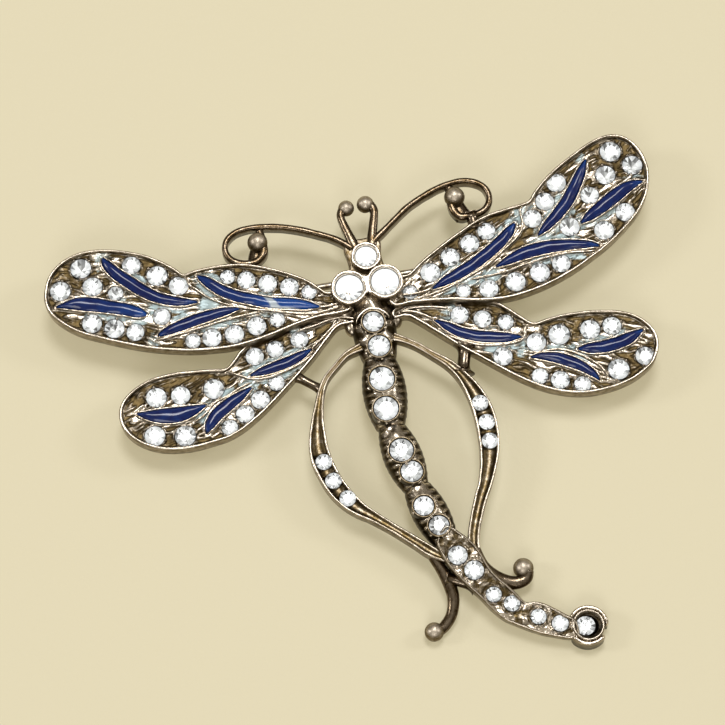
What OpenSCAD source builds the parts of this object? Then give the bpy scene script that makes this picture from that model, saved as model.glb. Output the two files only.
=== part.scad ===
// Insect brooch: a dragonfly with four rimmed wings, enamel leaves, cut stones and curled feelers.
// It lies on its pin fittings and its tail. All plan tables are in percent of the span,
// with x to the right wing and y to the head; heights are in millimetres above the surface.

/* [Overall] */
// Wing tip to wing tip, the size that every plan table is a share of
span = 67.4; // [64:0.2:72]
// Height of the forewing rims above the surface
fore_top = 5.0; // [4.8:0.1:6]

/* [Wings] */
// Thickness of the wing plates
wing_t = 1.6; // [1.5:0.1:1.9]
// How far the hindwings lie below the forewings
hind_drop = 0.8; // [0.6:0.1:1]
// Width of the raised rim
rim_w = 0.42; // [0.36:0.02:0.48]
// Depth of the wing floor below the rim
floor_drop = 0.55; // [0.45:0.05:0.7]
// Width of the wall round each enamel leaf
wall_w = 0.22; // [0.18:0.02:0.26]
// Width of the raised veins
vein_w = 0.26; // [0.2:0.02:0.32]

/* [Enamel] */
// Thickness of the enamel in its cells
enamel_t = 0.4; // [0.3:0.05:0.45]
// Clearance between the enamel and its cell
enamel_gap = 0.04; // [0.03:0.01:0.06]

/* [Stones] */
// Girdle of a stone as a share of its place in the tables
stone_fill = 1.0; // [0.9:0.02:1]
// Width of the table as a share of the girdle
table_share = 0.56; // [0.5:0.02:0.64]
// Height of the crown as a share of the girdle
crown_share = 0.16; // [0.12:0.01:0.2]
// Depth of the pavilion as a share of the girdle
pavilion_share = 0.34; // [0.3:0.01:0.36]
// Clearance between a stone and its seat
seat_gap = 0.05; // [0.04:0.01:0.07]

/* [Body] */
// Radius of the thorax
thorax_r = 2.45; // [2.3:0.05:2.6]
// Height of the thorax axis
thorax_z = 3.1; // [2.9:0.1:3.3]
// Depth of the flat back below the body axis
back_drop = 1.2; // [1:0.1:1.4]
// Depth of the grooves between the ribs
rib_depth = 0.16; // [0.1:0.02:0.22]
// Wall of the collar round each body stone
collar_w = 0.3; // [0.24:0.02:0.36]
// Thickness of the tail plate
tail_t = 1.9; // [1.7:0.1:2.1]
// Slope of the tail plate in degrees
tail_slope = 9.7; // [9:0.1:10.2]

/* [Head] */
// Outer diameter of the eye cups
eye_d = 4.0; // [3.9:0.05:4.1]
// Height of the eye cup rims
eye_top = 5.8; // [5.6:0.1:6]
// Outer diameter of the crown cup
crown_d = 3.3; // [3.2:0.05:3.4]
// Height of the crown cup rim
crown_top = 5.4; // [5.2:0.1:5.6]
// Depth of a cup rim above the girdle of its stone
cup_depth = 0.35; // [0.25:0.05:0.45]
// Height of the head plate
head_top = 4.6; // [4.4:0.1:4.8]

/* [Feelers and legs] */
// Height of the feelers from back to front
feeler_t = 1.4; // [1.2:0.1:1.6]
// Height of the feeler tops above the surface
feeler_top = 4.6; // [4.4:0.1:4.8]
// Thickness of the leg ribbons
leg_t = 1.5; // [1.3:0.1:1.7]
// Height of the leg ribbons at the thorax
leg_top = 4.3; // [4.2:0.05:4.4]
// Slope of the leg ribbons in degrees
leg_slope = 2.5; // [2.3:0.1:2.7]
// Width of the raised edges of the leg ribbons
leg_edge = 0.26; // [0.22:0.02:0.3]
// Depth of the channel along a leg
leg_channel = 0.35; // [0.25:0.05:0.45]

/* [Pin] */
// Diameter of the pin stem
pin_d = 0.8; // [0.7:0.05:0.9]
// Height of the pin stem axis above the surface
pin_z = 1.5; // [1.4:0.05:1.6]
// Clearance round the stem in the hinge and the catch
pin_gap = 0.15; // [0.1:0.05:0.2]
// Length of the stem point
pin_point = 3.2; // [2:0.2:4]
// Width of the hinge and catch feet
foot_w = 2.4; // [2.2:0.1:2.8]

/* [Hidden] */
$fn = 48;
hind_top = fore_top - hind_drop;
fore_back = fore_top - wing_t;
smooth = 2;  // steps of a curve between two points of its table
past = 1;  // how far a cut runs past the face that it opens
seat_rise = 3;  // how far a seat is open above its girdle

// Tables of the wings
LEFT_FORE_EDGE = [  // [x, y]
    [-3.26, 4.30], [-6.38, 4.45], [-7.42, 5.34], [-9.35, 7.12], [-11.42, 8.46],
    [-14.39, 9.94], [-17.36, 11.13], [-20.33, 11.87], [-23.59, 12.02], [-27.00, 11.80],
    [-28.64, 11.50], [-29.67, 12.46], [-31.16, 13.80], [-32.64, 14.84], [-34.12, 15.73],
    [-35.61, 16.39], [-37.83, 17.21], [-40.06, 17.80], [-42.28, 18.10], [-44.51, 18.03],
    [-46.74, 17.43], [-48.66, 16.32], [-50.15, 14.69], [-51.04, 12.61], [-51.34, 10.68],
    [-50.89, 8.75], [-49.85, 7.05], [-48.07, 5.34], [-45.99, 3.93], [-43.47, 2.74],
    [-40.80, 1.56], [-37.83, 0.37], [-34.87, -0.59], [-31.90, -1.34], [-28.93, -1.93],
    [-25.96, -2.23], [-23.00, -2.37], [-20.03, -2.08], [-16.32, -1.41], [-12.31, -0.37],
    [-8.46, 0.30], [-3.26, 0.74]
];

LEFT_FORE_STONES = [  // [x, y, diameter]
    [-48.59, 12.09, 3.26], [-43.40, 11.94, 3.19], [-44.81, 15.36, 3.34], [-39.91, 10.16, 2.45],
    [-36.72, 14.54, 2.97], [-32.94, 12.02, 3.34], [-29.75, 9.72, 3.12], [-44.36, 5.71, 3.12],
    [-40.95, 4.23, 3.19], [-37.76, 3.04, 2.82], [-33.23, 4.97, 2.82], [-28.93, 0.00, 2.45],
    [-25.89, 0.00, 3.04], [-22.26, 0.00, 3.04], [-18.55, 0.74, 3.04], [-15.13, 1.26, 2.37],
    [-21.81, 9.87, 2.37], [-18.92, 8.83, 2.89], [-15.65, 7.64, 2.97], [-12.31, 6.45, 2.97],
    [-9.35, 5.04, 2.37]
];

LEAF_LEFT_FORE_OUTER = [  // [x, y, width]
    [-49.48, 9.35, 0.15], [-47.77, 9.35, 1.19], [-45.70, 9.20, 2.08], [-43.32, 8.61, 2.15],
    [-40.95, 7.79, 1.93], [-38.58, 6.97, 1.85], [-36.80, 6.16, 1.63], [-35.61, 5.71, 0.52]
];

LEAF_LEFT_FORE_UPPER = [  // [x, y, width]
    [-41.17, 16.47, 0.22], [-40.65, 15.28, 1.26], [-39.47, 13.50, 1.71], [-37.83, 11.87, 1.85],
    [-35.91, 10.01, 1.85], [-33.83, 8.38, 1.63], [-31.60, 7.34, 1.48], [-29.38, 6.68, 1.11],
    [-27.30, 6.38, 0.22]
];

LEAF_LEFT_FORE_LOWER = [  // [x, y, width]
    [-34.05, 1.78, 0.45], [-32.79, 2.15, 1.19], [-30.42, 2.74, 1.63], [-27.74, 3.34, 1.71],
    [-25.22, 3.71, 1.56], [-22.85, 3.93, 1.11], [-20.77, 4.08, 0.22]
];

LEAF_LEFT_FORE_INNER = [  // [x, y, width]
    [-26.56, 10.76, 0.22], [-25.37, 9.64, 1.26], [-23.59, 7.94, 1.63], [-21.36, 6.45, 1.71],
    [-18.69, 5.27, 1.71], [-15.73, 4.15, 1.71], [-12.76, 3.49, 1.71], [-10.24, 2.74, 1.34],
    [-8.16, 2.15, 0.22]
];

VEIN_LEFT_FORE_A = [  // [x, y]
    [-28.49, 11.28], [-28.04, 9.50], [-26.85, 8.23], [-25.07, 6.53], [-22.55, 5.04],
    [-19.58, 3.86], [-15.73, 2.82], [-11.13, 1.48], [-6.82, 1.04]
];

VEIN_LEFT_FORE_B = [  // [x, y]
    [-35.01, 1.11], [-33.23, 1.11], [-30.56, 1.48], [-27.30, 1.93], [-23.74, 2.45],
    [-20.18, 2.82], [-17.06, 2.97]
];

RIGHT_FORE_EDGE = [  // [x, y]
    [3.26, 4.90], [6.53, 5.19], [7.57, 5.79], [8.75, 6.68], [10.39, 7.79],
    [13.35, 9.57], [16.32, 11.13], [18.69, 12.31], [21.22, 13.20], [24.18, 13.72],
    [27.00, 14.09], [28.34, 14.47], [29.23, 15.58], [30.42, 16.77], [31.90, 18.03],
    [33.38, 19.14], [35.01, 20.18], [36.80, 21.22], [38.58, 22.18], [40.36, 23.00],
    [42.14, 23.52], [43.77, 23.66], [45.25, 23.29], [46.59, 22.33], [47.63, 20.92],
    [48.37, 19.14], [48.66, 17.06], [48.44, 14.99], [47.77, 12.91], [46.74, 10.98],
    [45.40, 9.20], [43.62, 7.57], [41.54, 5.93], [39.32, 4.38], [36.80, 2.97],
    [34.12, 1.56], [31.16, 0.30], [28.19, -0.67], [25.22, -1.34], [22.26, -1.71],
    [19.29, -1.63], [16.32, -1.19], [13.35, -0.52], [10.39, -0.15], [6.82, 0.15],
    [3.26, 0.45]
];

RIGHT_FORE_STONES = [  // [x, y, diameter]
    [6.60, 2.15, 2.37], [10.39, 4.97, 3.19], [14.02, 7.05, 3.04], [17.58, 8.83, 3.04],
    [20.62, 10.46, 2.89], [15.06, 0.96, 2.30], [19.14, 0.59, 3.04], [23.59, 1.04, 3.19],
    [27.74, 1.93, 3.19], [31.45, 2.89, 2.97], [28.34, 11.35, 3.04], [30.93, 13.95, 3.04],
    [33.41, 16.84, 3.12], [34.05, 8.90, 3.19], [38.32, 13.77, 2.97], [41.54, 16.84, 3.26],
    [43.18, 20.77, 3.41], [46.22, 17.80, 3.26], [39.39, 7.34, 3.19], [43.40, 9.87, 3.12]
];

LEAF_RIGHT_FORE_INNER = [  // [x, y, width]
    [10.39, 2.15, 0.22], [12.17, 2.82, 1.19], [14.84, 3.86, 1.71], [17.80, 5.19, 1.78],
    [20.47, 6.75, 1.78], [22.70, 8.31, 1.71], [24.33, 9.79, 1.34], [25.37, 10.98, 0.22]
];

LEAF_RIGHT_FORE_LOWER = [  // [x, y, width]
    [21.07, 4.08, 0.22], [22.85, 4.60, 1.11], [25.52, 5.42, 1.85], [28.49, 5.82, 2.00],
    [31.45, 5.82, 1.85], [34.27, 5.56, 1.48], [36.50, 5.19, 1.04], [37.98, 4.75, 0.22]
];

LEAF_RIGHT_FORE_STEEP = [  // [x, y, width]
    [28.78, 8.31, 0.22], [30.27, 9.42, 1.26], [32.57, 11.35, 1.71], [34.57, 13.35, 1.85],
    [36.20, 15.58, 1.71], [37.69, 17.88, 1.34], [38.95, 20.03, 0.22]
];

LEAF_RIGHT_FORE_OUTER = [  // [x, y, width]
    [36.05, 9.20, 0.30], [37.39, 9.94, 1.34], [39.61, 11.20, 1.93], [41.99, 12.61, 2.08],
    [44.21, 13.80, 1.78], [45.99, 14.39, 1.04], [47.18, 14.54, 0.22]
];

VEIN_RIGHT_FORE_A = [  // [x, y]
    [28.19, 13.95], [26.71, 13.20], [26.56, 10.68], [25.52, 8.75], [23.15, 6.97],
    [19.88, 4.75], [16.62, 3.26], [11.87, 1.56], [7.72, 0.89]
];

VEIN_RIGHT_FORE_B = [  // [x, y]
    [38.28, 4.01], [35.91, 4.08], [33.23, 4.38], [30.27, 4.30], [25.82, 3.64],
    [21.36, 2.82], [18.40, 2.67], [16.17, 2.60]
];

LEFT_HIND_EDGE = [  // [x, y]
    [-2.89, -0.17], [-6.60, 0.72], [-13.28, 0.72], [-19.21, -1.06], [-21.73, -2.54],
    [-23.07, -3.88], [-24.55, -5.14], [-26.63, -4.92], [-29.60, -4.62], [-32.57, -4.47],
    [-35.53, -4.69], [-37.76, -5.29], [-39.69, -6.25], [-41.17, -7.44], [-42.06, -8.77],
    [-42.43, -10.26], [-42.21, -11.89], [-41.47, -13.52], [-40.13, -15.00], [-38.35, -16.19],
    [-36.27, -17.01], [-33.75, -17.45], [-31.08, -17.53], [-28.41, -17.23], [-26.04, -16.86],
    [-23.96, -16.12], [-21.88, -15.00], [-19.66, -13.52], [-17.73, -12.04], [-15.65, -10.33],
    [-13.57, -8.62], [-11.65, -6.99], [-9.72, -5.21], [-7.64, -3.14], [-5.56, -1.35],
    [-2.89, -1.06]
];

LEFT_HIND_STONES = [  // [x, y, diameter]
    [-36.13, -8.03, 3.26], [-32.27, -8.33, 3.04], [-26.93, -8.18, 3.26], [-37.31, -14.34, 3.26],
    [-32.57, -15.15, 3.34], [-25.44, -15.00, 2.60], [-22.70, -13.19, 2.89], [-19.94, -11.22, 2.97],
    [-16.99, -8.85, 2.60], [-12.16, -2.24, 2.82], [-16.24, -3.21, 2.74], [-19.66, -3.88, 2.89]
];

LEAF_LEFT_HIND_OUTER = [  // [x, y, width]
    [-39.47, -10.31, 0.22], [-37.83, -10.91, 1.41], [-35.61, -11.35, 2.23], [-33.23, -11.57, 2.37],
    [-31.01, -11.35, 1.71], [-28.64, -10.76, 0.22]
];

LEAF_LEFT_HIND_MIDDLE = [  // [x, y, width]
    [-29.08, -15.13, 0.45], [-28.49, -14.17, 1.41], [-27.15, -12.69, 1.85], [-25.22, -11.42, 1.85],
    [-23.15, -10.31, 1.41], [-21.07, -9.12, 0.22]
];

LEAF_LEFT_HIND_INNER = [  // [x, y, width]
    [-20.77, -7.05, 0.22], [-18.99, -6.75, 1.11], [-16.62, -6.31, 1.56], [-14.24, -5.79, 1.56],
    [-12.31, -5.12, 1.19], [-10.68, -4.38, 0.22]
];

VEIN_LEFT_HIND_A = [  // [x, y]
    [-24.70, -5.58], [-22.77, -6.62], [-20.99, -7.51], [-18.62, -7.88], [-15.65, -7.36],
    [-12.68, -6.40], [-10.31, -5.06]
];

VEIN_LEFT_HIND_B = [  // [x, y]
    [-30.93, -13.22], [-29.00, -12.26], [-27.22, -10.63], [-25.00, -9.81], [-22.77, -8.77],
    [-20.70, -8.18]
];

RIGHT_HIND_EDGE = [  // [x, y]
    [3.34, -0.02], [6.75, 0.87], [13.43, 0.43], [19.36, -1.21], [21.74, -2.84],
    [23.52, -4.62], [25.15, -5.95], [27.23, -5.73], [29.75, -5.43], [31.97, -5.41],
    [34.20, -5.51], [36.43, -5.81], [38.65, -6.25], [40.58, -6.99], [42.21, -8.11],
    [43.40, -9.51], [44.14, -11.15], [44.22, -12.78], [43.70, -14.41], [42.66, -16.04],
    [41.03, -17.23], [38.95, -18.27], [36.57, -18.94], [33.90, -19.31], [31.23, -19.31],
    [28.56, -18.79], [26.04, -17.90], [23.81, -16.78], [21.59, -15.30], [19.36, -13.59],
    [17.43, -11.96], [15.36, -10.18], [13.28, -8.48], [11.05, -6.40], [8.98, -4.47],
    [6.90, -2.54], [5.42, -1.50], [3.34, -1.50]
];

RIGHT_HIND_STONES = [  // [x, y, diameter]
    [13.80, -2.54, 2.89], [17.29, -3.88, 2.89], [20.85, -5.06, 2.52], [19.29, -10.70, 3.04],
    [25.00, -9.29, 3.12], [28.86, -8.62, 3.41], [33.90, -8.62, 3.19], [37.46, -8.62, 3.04],
    [41.62, -14.56, 3.04], [37.02, -16.04, 3.41], [24.48, -15.00, 2.60], [27.52, -16.19, 2.97],
    [30.86, -17.53, 2.67]
];

LEAF_RIGHT_HIND_INNER = [  // [x, y, width]
    [9.79, -2.89, 0.22], [11.42, -4.23, 1.19], [13.35, -5.64, 1.56], [15.73, -6.68, 1.71],
    [18.25, -7.34, 1.71], [20.77, -7.86, 1.34], [22.70, -8.01, 0.22]
];

LEAF_RIGHT_HIND_MIDDLE = [  // [x, y, width]
    [23.74, -11.72, 0.22], [25.52, -11.94, 1.04], [27.74, -12.61, 1.63], [29.75, -13.65, 1.71],
    [31.45, -14.84, 1.41], [32.79, -16.17, 0.96], [33.53, -17.21, 0.22]
];

LEAF_RIGHT_HIND_OUTER = [  // [x, y, width]
    [31.45, -11.65, 0.37], [32.94, -11.87, 1.41], [35.31, -12.02, 1.85], [37.69, -11.80, 1.85],
    [39.91, -11.20, 1.63], [42.14, -10.24, 0.22]
];

VEIN_RIGHT_HIND_A = [  // [x, y]
    [25.00, -6.40], [23.67, -6.62], [23.44, -7.66], [22.63, -8.62], [20.70, -8.85],
    [17.88, -8.62], [15.21, -7.96], [12.84, -6.77], [10.76, -5.36]
];

VEIN_RIGHT_HIND_B = [  // [x, y]
    [35.09, -17.23], [34.35, -15.30], [32.57, -13.52], [30.34, -11.96], [27.97, -11.07],
    [25.00, -11.07], [22.63, -10.70]
];

// Spindles of the thorax and the three abdomen parts
BODY = [  // [x0, y0, x1, y1, middle radius, end radius, axis height at start, at end, ribs]
    [0.00, 4.20, -0.10, -7.60, 1.00, 0.74, 0.00, -0.04, 5],
    [-0.10, -7.00, -0.40, -19.10, 0.98, 0.62, -0.02, -0.06, 7],
    [-0.35, -18.90, 1.80, -29.40, 0.87, 0.56, -0.10, -0.18, 6],
    [1.75, -29.00, 4.90, -38.80, 0.81, 0.54, -0.19, -0.28, 6]
];
// Stones that stand alone, with the height of the girdle above the surface
HEAD_STONES = [  // [x, y, diameter]
    [-2.97, 4.10, 4.36], [2.85, 4.15, 4.42], [0.63, 9.20, 3.42]
];
BODY_STONES = [  // [x, y, diameter, girdle height]
    [-0.21, -2.30, 3.30, 5.55], [0.00, -6.45, 3.42, 5.45], [-0.52, -11.94, 3.86, 5.35],
    [-0.74, -16.84, 3.86, 5.15], [0.45, -23.89, 3.71, 4.85], [1.44, -27.52, 3.41, 4.65],
    [2.30, -33.31, 3.12, 4.45], [4.08, -36.72, 3.12, 4.2], [6.14, -41.69, 3.04, 3.5],
    [8.25, -44.36, 3.04, 3.18], [10.59, -48.52, 2.45, 2.68], [13.13, -50.37, 2.52, 2.5],
    [16.81, -53.04, 2.45, 2.2], [19.94, -54.60, 2.60, 2.0]
];
TAIL_END_STONE = [[23.74, -55.64, 3.04, 1.95]];  // [x, y, diameter, girdle height]
LEFT_LEG_STONES = [  // [x, y, diameter, girdle height]
    [-11.80, -23.15, 2.60, 3.65], [-10.83, -26.41, 2.60, 3.55], [-9.10, -29.60, 2.60, 3.45]
];
RIGHT_LEG_STONES = [  // [x, y, diameter, girdle height]
    [14.24, -17.80, 2.60, 3.8], [14.69, -21.07, 2.60, 3.7], [14.61, -24.18, 2.60, 3.6]
];
TAIL_EDGE = [  // [x, y] in the sloping plane of the tail, whose hinge line is TAIL_HINGE
    [5.20, -36.90], [7.40, -38.60], [9.00, -40.50], [9.90, -42.40], [10.60, -44.30],
    [11.70, -46.10], [12.70, -47.30], [14.00, -49.00], [15.20, -50.70], [16.60, -50.90],
    [18.00, -51.40], [19.60, -52.50], [21.00, -53.60], [22.40, -54.80], [22.60, -57.20],
    [21.10, -57.55], [18.80, -56.80], [16.90, -56.10], [15.00, -55.10], [13.30, -54.10],
    [11.50, -52.90], [9.90, -51.10], [8.60, -49.20], [7.20, -47.40], [5.90, -45.60],
    [4.60, -43.60], [3.60, -41.30], [3.30, -39.00]
];
TAIL_HINGE = -38.6;
TAIL_CUP = [24.20, -55.60, 2.55, 3.25];  // [x, y, cup radius, radius to the outside of the claws]
CLAWS = [[-8, 158], [205, 112]];  // [start angle, sweep] round the tail cup
LEFT_LEG = [  // [x, y, width]
    [-2.60, -5.40, 1.50], [-5.20, -6.30, 1.10], [-7.30, -8.00, 1.00], [-9.10, -9.70, 1.05],
    [-10.20, -11.60, 1.20], [-10.95, -13.80, 1.45], [-11.55, -16.00, 1.95], [-11.95, -18.20, 2.55],
    [-12.20, -20.50, 3.05], [-12.05, -22.80, 3.30], [-11.50, -25.00, 3.25], [-10.55, -27.50, 3.20],
    [-9.15, -29.80, 2.95], [-7.60, -31.60, 2.40], [-5.80, -33.10, 1.85], [-2.90, -35.60, 1.60],
    [0.10, -38.30, 1.70], [2.40, -40.60, 1.80], [4.20, -42.60, 1.50]
];
RIGHT_LEG = [  // [x, y, width]
    [2.60, -4.60, 1.50], [4.00, -5.30, 1.15], [6.00, -6.60, 1.05], [8.20, -8.50, 1.10],
    [10.60, -10.60, 1.50], [12.40, -13.10, 1.95], [13.80, -16.20, 2.75], [14.50, -19.20, 3.30],
    [14.65, -22.20, 3.40], [14.35, -25.20, 3.15], [13.60, -28.20, 2.65], [12.50, -31.10, 2.20],
    [11.55, -32.90, 2.10], [10.30, -35.80, 1.95], [9.30, -38.60, 1.85], [8.90, -41.00, 1.90]
];
LEFT_FOOT = [  // [x, y, width]
    [2.60, -40.60, 1.70], [3.60, -43.60, 1.60], [4.30, -46.20, 1.70], [4.40, -48.20, 1.60],
    [3.70, -50.40, 1.50], [2.30, -52.00, 1.50], [0.90, -52.70, 1.50]
];
RIGHT_FOOT = [  // [x, y, width]
    [8.90, -41.00, 1.70], [9.60, -43.60, 1.50], [10.90, -45.40, 1.40], [12.60, -46.60, 1.35],
    [14.50, -47.20, 1.30], [16.20, -46.80, 1.30], [16.80, -45.60, 1.30]
];
FOOT_HINGE = -41.0;
LEFT_FEELER = [  // [x, y, width]
    [-1.20, 11.40, 1.10], [-2.70, 12.80, 1.00], [-4.45, 14.00, 0.95], [-6.70, 15.10, 0.90],
    [-8.90, 16.10, 0.90], [-11.90, 17.10, 0.90], [-14.80, 17.65, 0.90], [-17.10, 17.80, 0.90],
    [-19.30, 17.45, 0.90], [-20.90, 16.35, 0.90], [-21.45, 14.85, 0.90], [-21.10, 13.35, 0.95],
    [-19.90, 12.20, 1.00], [-18.10, 11.75, 1.00], [-16.20, 12.20, 0.95], [-14.85, 13.35, 0.90],
    [-14.50, 14.85, 0.90], [-14.70, 17.00, 0.90]
];
RIGHT_FEELER = [  // [x, y, width]
    [1.70, 11.40, 1.10], [3.00, 12.60, 1.00], [4.45, 13.70, 0.95], [6.70, 15.45, 0.90],
    [8.90, 17.05, 0.90], [11.90, 18.55, 0.90], [14.80, 19.60, 0.90], [17.80, 20.05, 0.90],
    [20.10, 19.60, 0.90], [21.70, 18.40, 0.90], [22.25, 16.75, 0.90], [21.80, 15.15, 0.95],
    [20.50, 14.10, 1.00], [18.55, 13.85, 1.00], [16.75, 13.95, 0.95], [15.55, 15.15, 0.90],
    [15.30, 16.90, 0.90], [15.60, 19.20, 0.90]
];
LEFT_HORN = [  // [x, y, width]
    [-0.70, 11.40, 1.05], [-1.30, 13.70, 0.95], [-1.85, 15.80, 1.00], [-2.10, 17.40, 1.10],
    [-1.60, 18.60, 1.10]
];
RIGHT_HORN = [  // [x, y, width]
    [2.00, 11.40, 1.05], [2.55, 13.90, 0.95], [3.10, 15.90, 1.05], [3.40, 17.50, 1.15],
    [2.90, 18.80, 1.15]
];
HEAD_EDGE = [  // [x, y] of the plate under the cups
    [-3.90, 1.00], [-4.60, 4.30], [-2.50, 7.40], [-2.30, 9.60], [-2.60, 11.60], [-2.00, 12.90],
    [0.40, 12.30], [2.90, 12.90], [3.50, 11.60], [3.20, 9.60], [3.50, 7.40], [4.60, 4.30],
    [3.90, 1.00]
];
BALLS = [  // [x, y, diameter, centre height]
    [-16.10, 15.10, 3.30, 4.2], [16.69, 17.45, 3.40, 4.2],
    [-0.96, 18.60, 2.62, 4.1], [2.20, 18.75, 2.82, 4.1],
    [0.55, -52.25, 3.05, 1.15], [16.10, -44.70, 3.25, 1.45]
];
STRUTS = [  // [x0, y0, z0, x1, y1, z1, diameter]
    [-13.40, -8.30, 3.2, -10.30, -10.80, 3.2, 1.45],
    [13.20, -8.60, 3.2, 12.50, -11.60, 3.2, 1.90],
    [19.00, 11.80, 3.9, 18.90, 13.80, 3.9, 2.40],
    [3.90, -44.00, 1.9, 7.10, -47.30, 1.9, 2.00]
];
HINGE_X = -20.8;
CATCH_X = 19.3;
PIN_Y = 7.27;

joint = 0.1;  // how far soldered pieces run into each other
hinge_wall = 0.6;
point_out = 0.3;  // how far the point of the stem shows past the catch
pin_l = (CATCH_X - HINGE_X) * span / 100 + foot_w - hinge_wall - pin_gap + point_out;
hinge_at = [HINGE_X * span / 100 - foot_w / 2, PIN_Y * span / 100 - foot_w / 2];
catch_at = [CATCH_X * span / 100 - foot_w / 2, PIN_Y * span / 100 - foot_w / 2];
foot_h = fore_back + 2 * joint;  // the hinge and catch feet run into the back of the wings
foot_top = 3.0;
foot_slope = 13;
foot_t = 1.0;
tail_top = 4.1;
tail_recess = 0.45;
tail_rim = 0.36;
tail_cup_top = 2.3;
claw_top = tail_cup_top - 0.2;
head_t = feeler_t + 0.1;
collar_h = 1.6;  // height of a body stone's collar below the girdle
saddle = [eye_d / 3, eye_d * 0.42, 1.2];  // [x, y, z] of the bridge between the eye cups
seat_floor = 0.06;
function seat_depth(d) = d * span / 100 * pavilion_share + seat_floor;
function girdle_of(top) = top - floor_drop + 0.06;
function head_girdle(i) = (i < 2 ? eye_top : crown_top) - cup_depth;

// Curves through the points of the tables
function mix(a, b, c, d, t) =
    0.5 * (2 * b + (c - a) * t + (2 * a - 5 * b + 4 * c - d) * t * t + (3 * b - 3 * c + d - a) * t * t * t);
function loop(rows, n) = [
    for (i = [0 : len(rows) - 1])
        for (j = [0 : n - 1])
            mix(rows[(i + len(rows) - 1) % len(rows)], rows[i], rows[(i + 1) % len(rows)],
                rows[(i + 2) % len(rows)], j / n) * span / 100
];
function path(rows, n) = [
    for (k = [0 : (len(rows) - 1) * n])
        let (i = min(floor(k / n), len(rows) - 2))
            mix(rows[max(i - 1, 0)], rows[i], rows[i + 1], rows[min(i + 2, len(rows) - 1)], k / n - i)
                * span / 100
];
function side(line, i) =
    let (
        a = line[max(i - 1, 0)],
        b = line[min(i + 1, len(line) - 1)],
        w = max(line[i][2], 0.1) / 2,
        l = norm([b[0] - a[0], b[1] - a[1]])
    )
    [-(b[1] - a[1]) * w / l, (b[0] - a[0]) * w / l];
function ribbon(line) = concat(
    [for (i = [0 : len(line) - 1]) [line[i][0], line[i][1]] + side(line, i)],
    [for (i = [len(line) - 1 : -1 : 0]) [line[i][0], line[i][1]] - side(line, i)]
);
function with_width(rows, w) = [for (r = rows) [r[0], r[1], w * 100 / span]];
function lowest(points, k) = min([for (p = points) p[k]]);
function highest(points, k) = max([for (p = points) p[k]]);

// The origin is the middle of the box on the surface
tail_end_y = (TAIL_CUP[1] - TAIL_CUP[3]) * span / 100;
mid_x = (lowest(loop(LEFT_FORE_EDGE, smooth), 0) + highest(loop(RIGHT_FORE_EDGE, smooth), 0)) / 2;
mid_y = (tail_end_y + highest(loop(RIGHT_FORE_EDGE, smooth), 1)) / 2;

LEFT_FORE_LEAVES = [
    LEAF_LEFT_FORE_OUTER, LEAF_LEFT_FORE_UPPER, LEAF_LEFT_FORE_LOWER, LEAF_LEFT_FORE_INNER
];
RIGHT_FORE_LEAVES = [
    LEAF_RIGHT_FORE_INNER, LEAF_RIGHT_FORE_LOWER, LEAF_RIGHT_FORE_STEEP, LEAF_RIGHT_FORE_OUTER
];
LEFT_HIND_LEAVES = [LEAF_LEFT_HIND_OUTER, LEAF_LEFT_HIND_MIDDLE, LEAF_LEFT_HIND_INNER];
RIGHT_HIND_LEAVES = [LEAF_RIGHT_HIND_INNER, LEAF_RIGHT_HIND_MIDDLE, LEAF_RIGHT_HIND_OUTER];
LEFT_FORE_VEINS = [VEIN_LEFT_FORE_A, VEIN_LEFT_FORE_B];
RIGHT_FORE_VEINS = [VEIN_RIGHT_FORE_A, VEIN_RIGHT_FORE_B];
LEFT_HIND_VEINS = [VEIN_LEFT_HIND_A, VEIN_LEFT_HIND_B];
RIGHT_HIND_VEINS = [VEIN_RIGHT_HIND_A, VEIN_RIGHT_HIND_B];

module placed() {
    translate([-mid_x, -mid_y, 0])
        children();
}

// Flat shapes
module leaf_plan(rows) {
    polygon(ribbon(path(rows, smooth)));
}

module floor_plan(edge, leaves, veins) {
    offset(delta = 0.001)
        difference() {
            offset(delta = -rim_w)
                polygon(loop(edge, smooth));
            for (rows = leaves)
                offset(delta = wall_w)
                    leaf_plan(rows);
            for (rows = veins)
                polygon(ribbon(path(with_width(rows, vein_w), smooth)));
        }
}

// One wing: a plate with a raised rim, cells for the enamel, veins and the seats of its stones
module wing(edge, leaves, veins, stones, top) {
    difference() {
        translate([0, 0, top - wing_t])
            linear_extrude(wing_t)
                polygon(loop(edge, smooth));
        translate([0, 0, top - floor_drop])
            linear_extrude(floor_drop + past)
                floor_plan(edge, leaves, veins);
        for (rows = leaves)
            translate([0, 0, top - floor_drop])
                linear_extrude(floor_drop + past)
                    leaf_plan(rows);
        for (row = stones)
            seat(row[0], row[1], row[2], girdle_of(top));
    }
}

// A turned spindle with ribs, flat at the back
function spindle_r(row, u) = (row[5] + (row[4] - row[5]) * pow(sin(180 * u), 0.8)) * thorax_r;
function spindle_profile(row, l) = concat(
    [[0, 0]],
    [for (k = [0 : 4 * row[8]])
        let (
            u = k / (4 * row[8]),
            cut = (k % 4 == 2 || k % 4 == 3) ? rib_depth : 0
        )
        [spindle_r(row, u) - cut, u * l]],
    [[0, l]]
);
module spindle(row) {
    a = [row[0] * span / 100, row[1] * span / 100, thorax_z + row[6] * thorax_r];
    b = [row[2] * span / 100, row[3] * span / 100, thorax_z + row[7] * thorax_r];
    l = norm(b - a);
    translate(a)
        rotate([0, acos((b[2] - a[2]) / l), atan2(b[1] - a[1], b[0] - a[0])])
            difference() {
                rotate_extrude()
                    polygon(spindle_profile(row, l));
                translate([back_drop, -thorax_r * 2, -past])
                    cube([thorax_r * 2, thorax_r * 4, l + 2 * past]);
            }
}

module collar(stone) {
    translate([stone[0] * span / 100, stone[1] * span / 100, stone[3] - collar_h])
        cylinder(h = collar_h + cup_depth / 2, d = stone[2] * span / 100 + 2 * seat_gap + 2 * collar_w);
}

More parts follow.
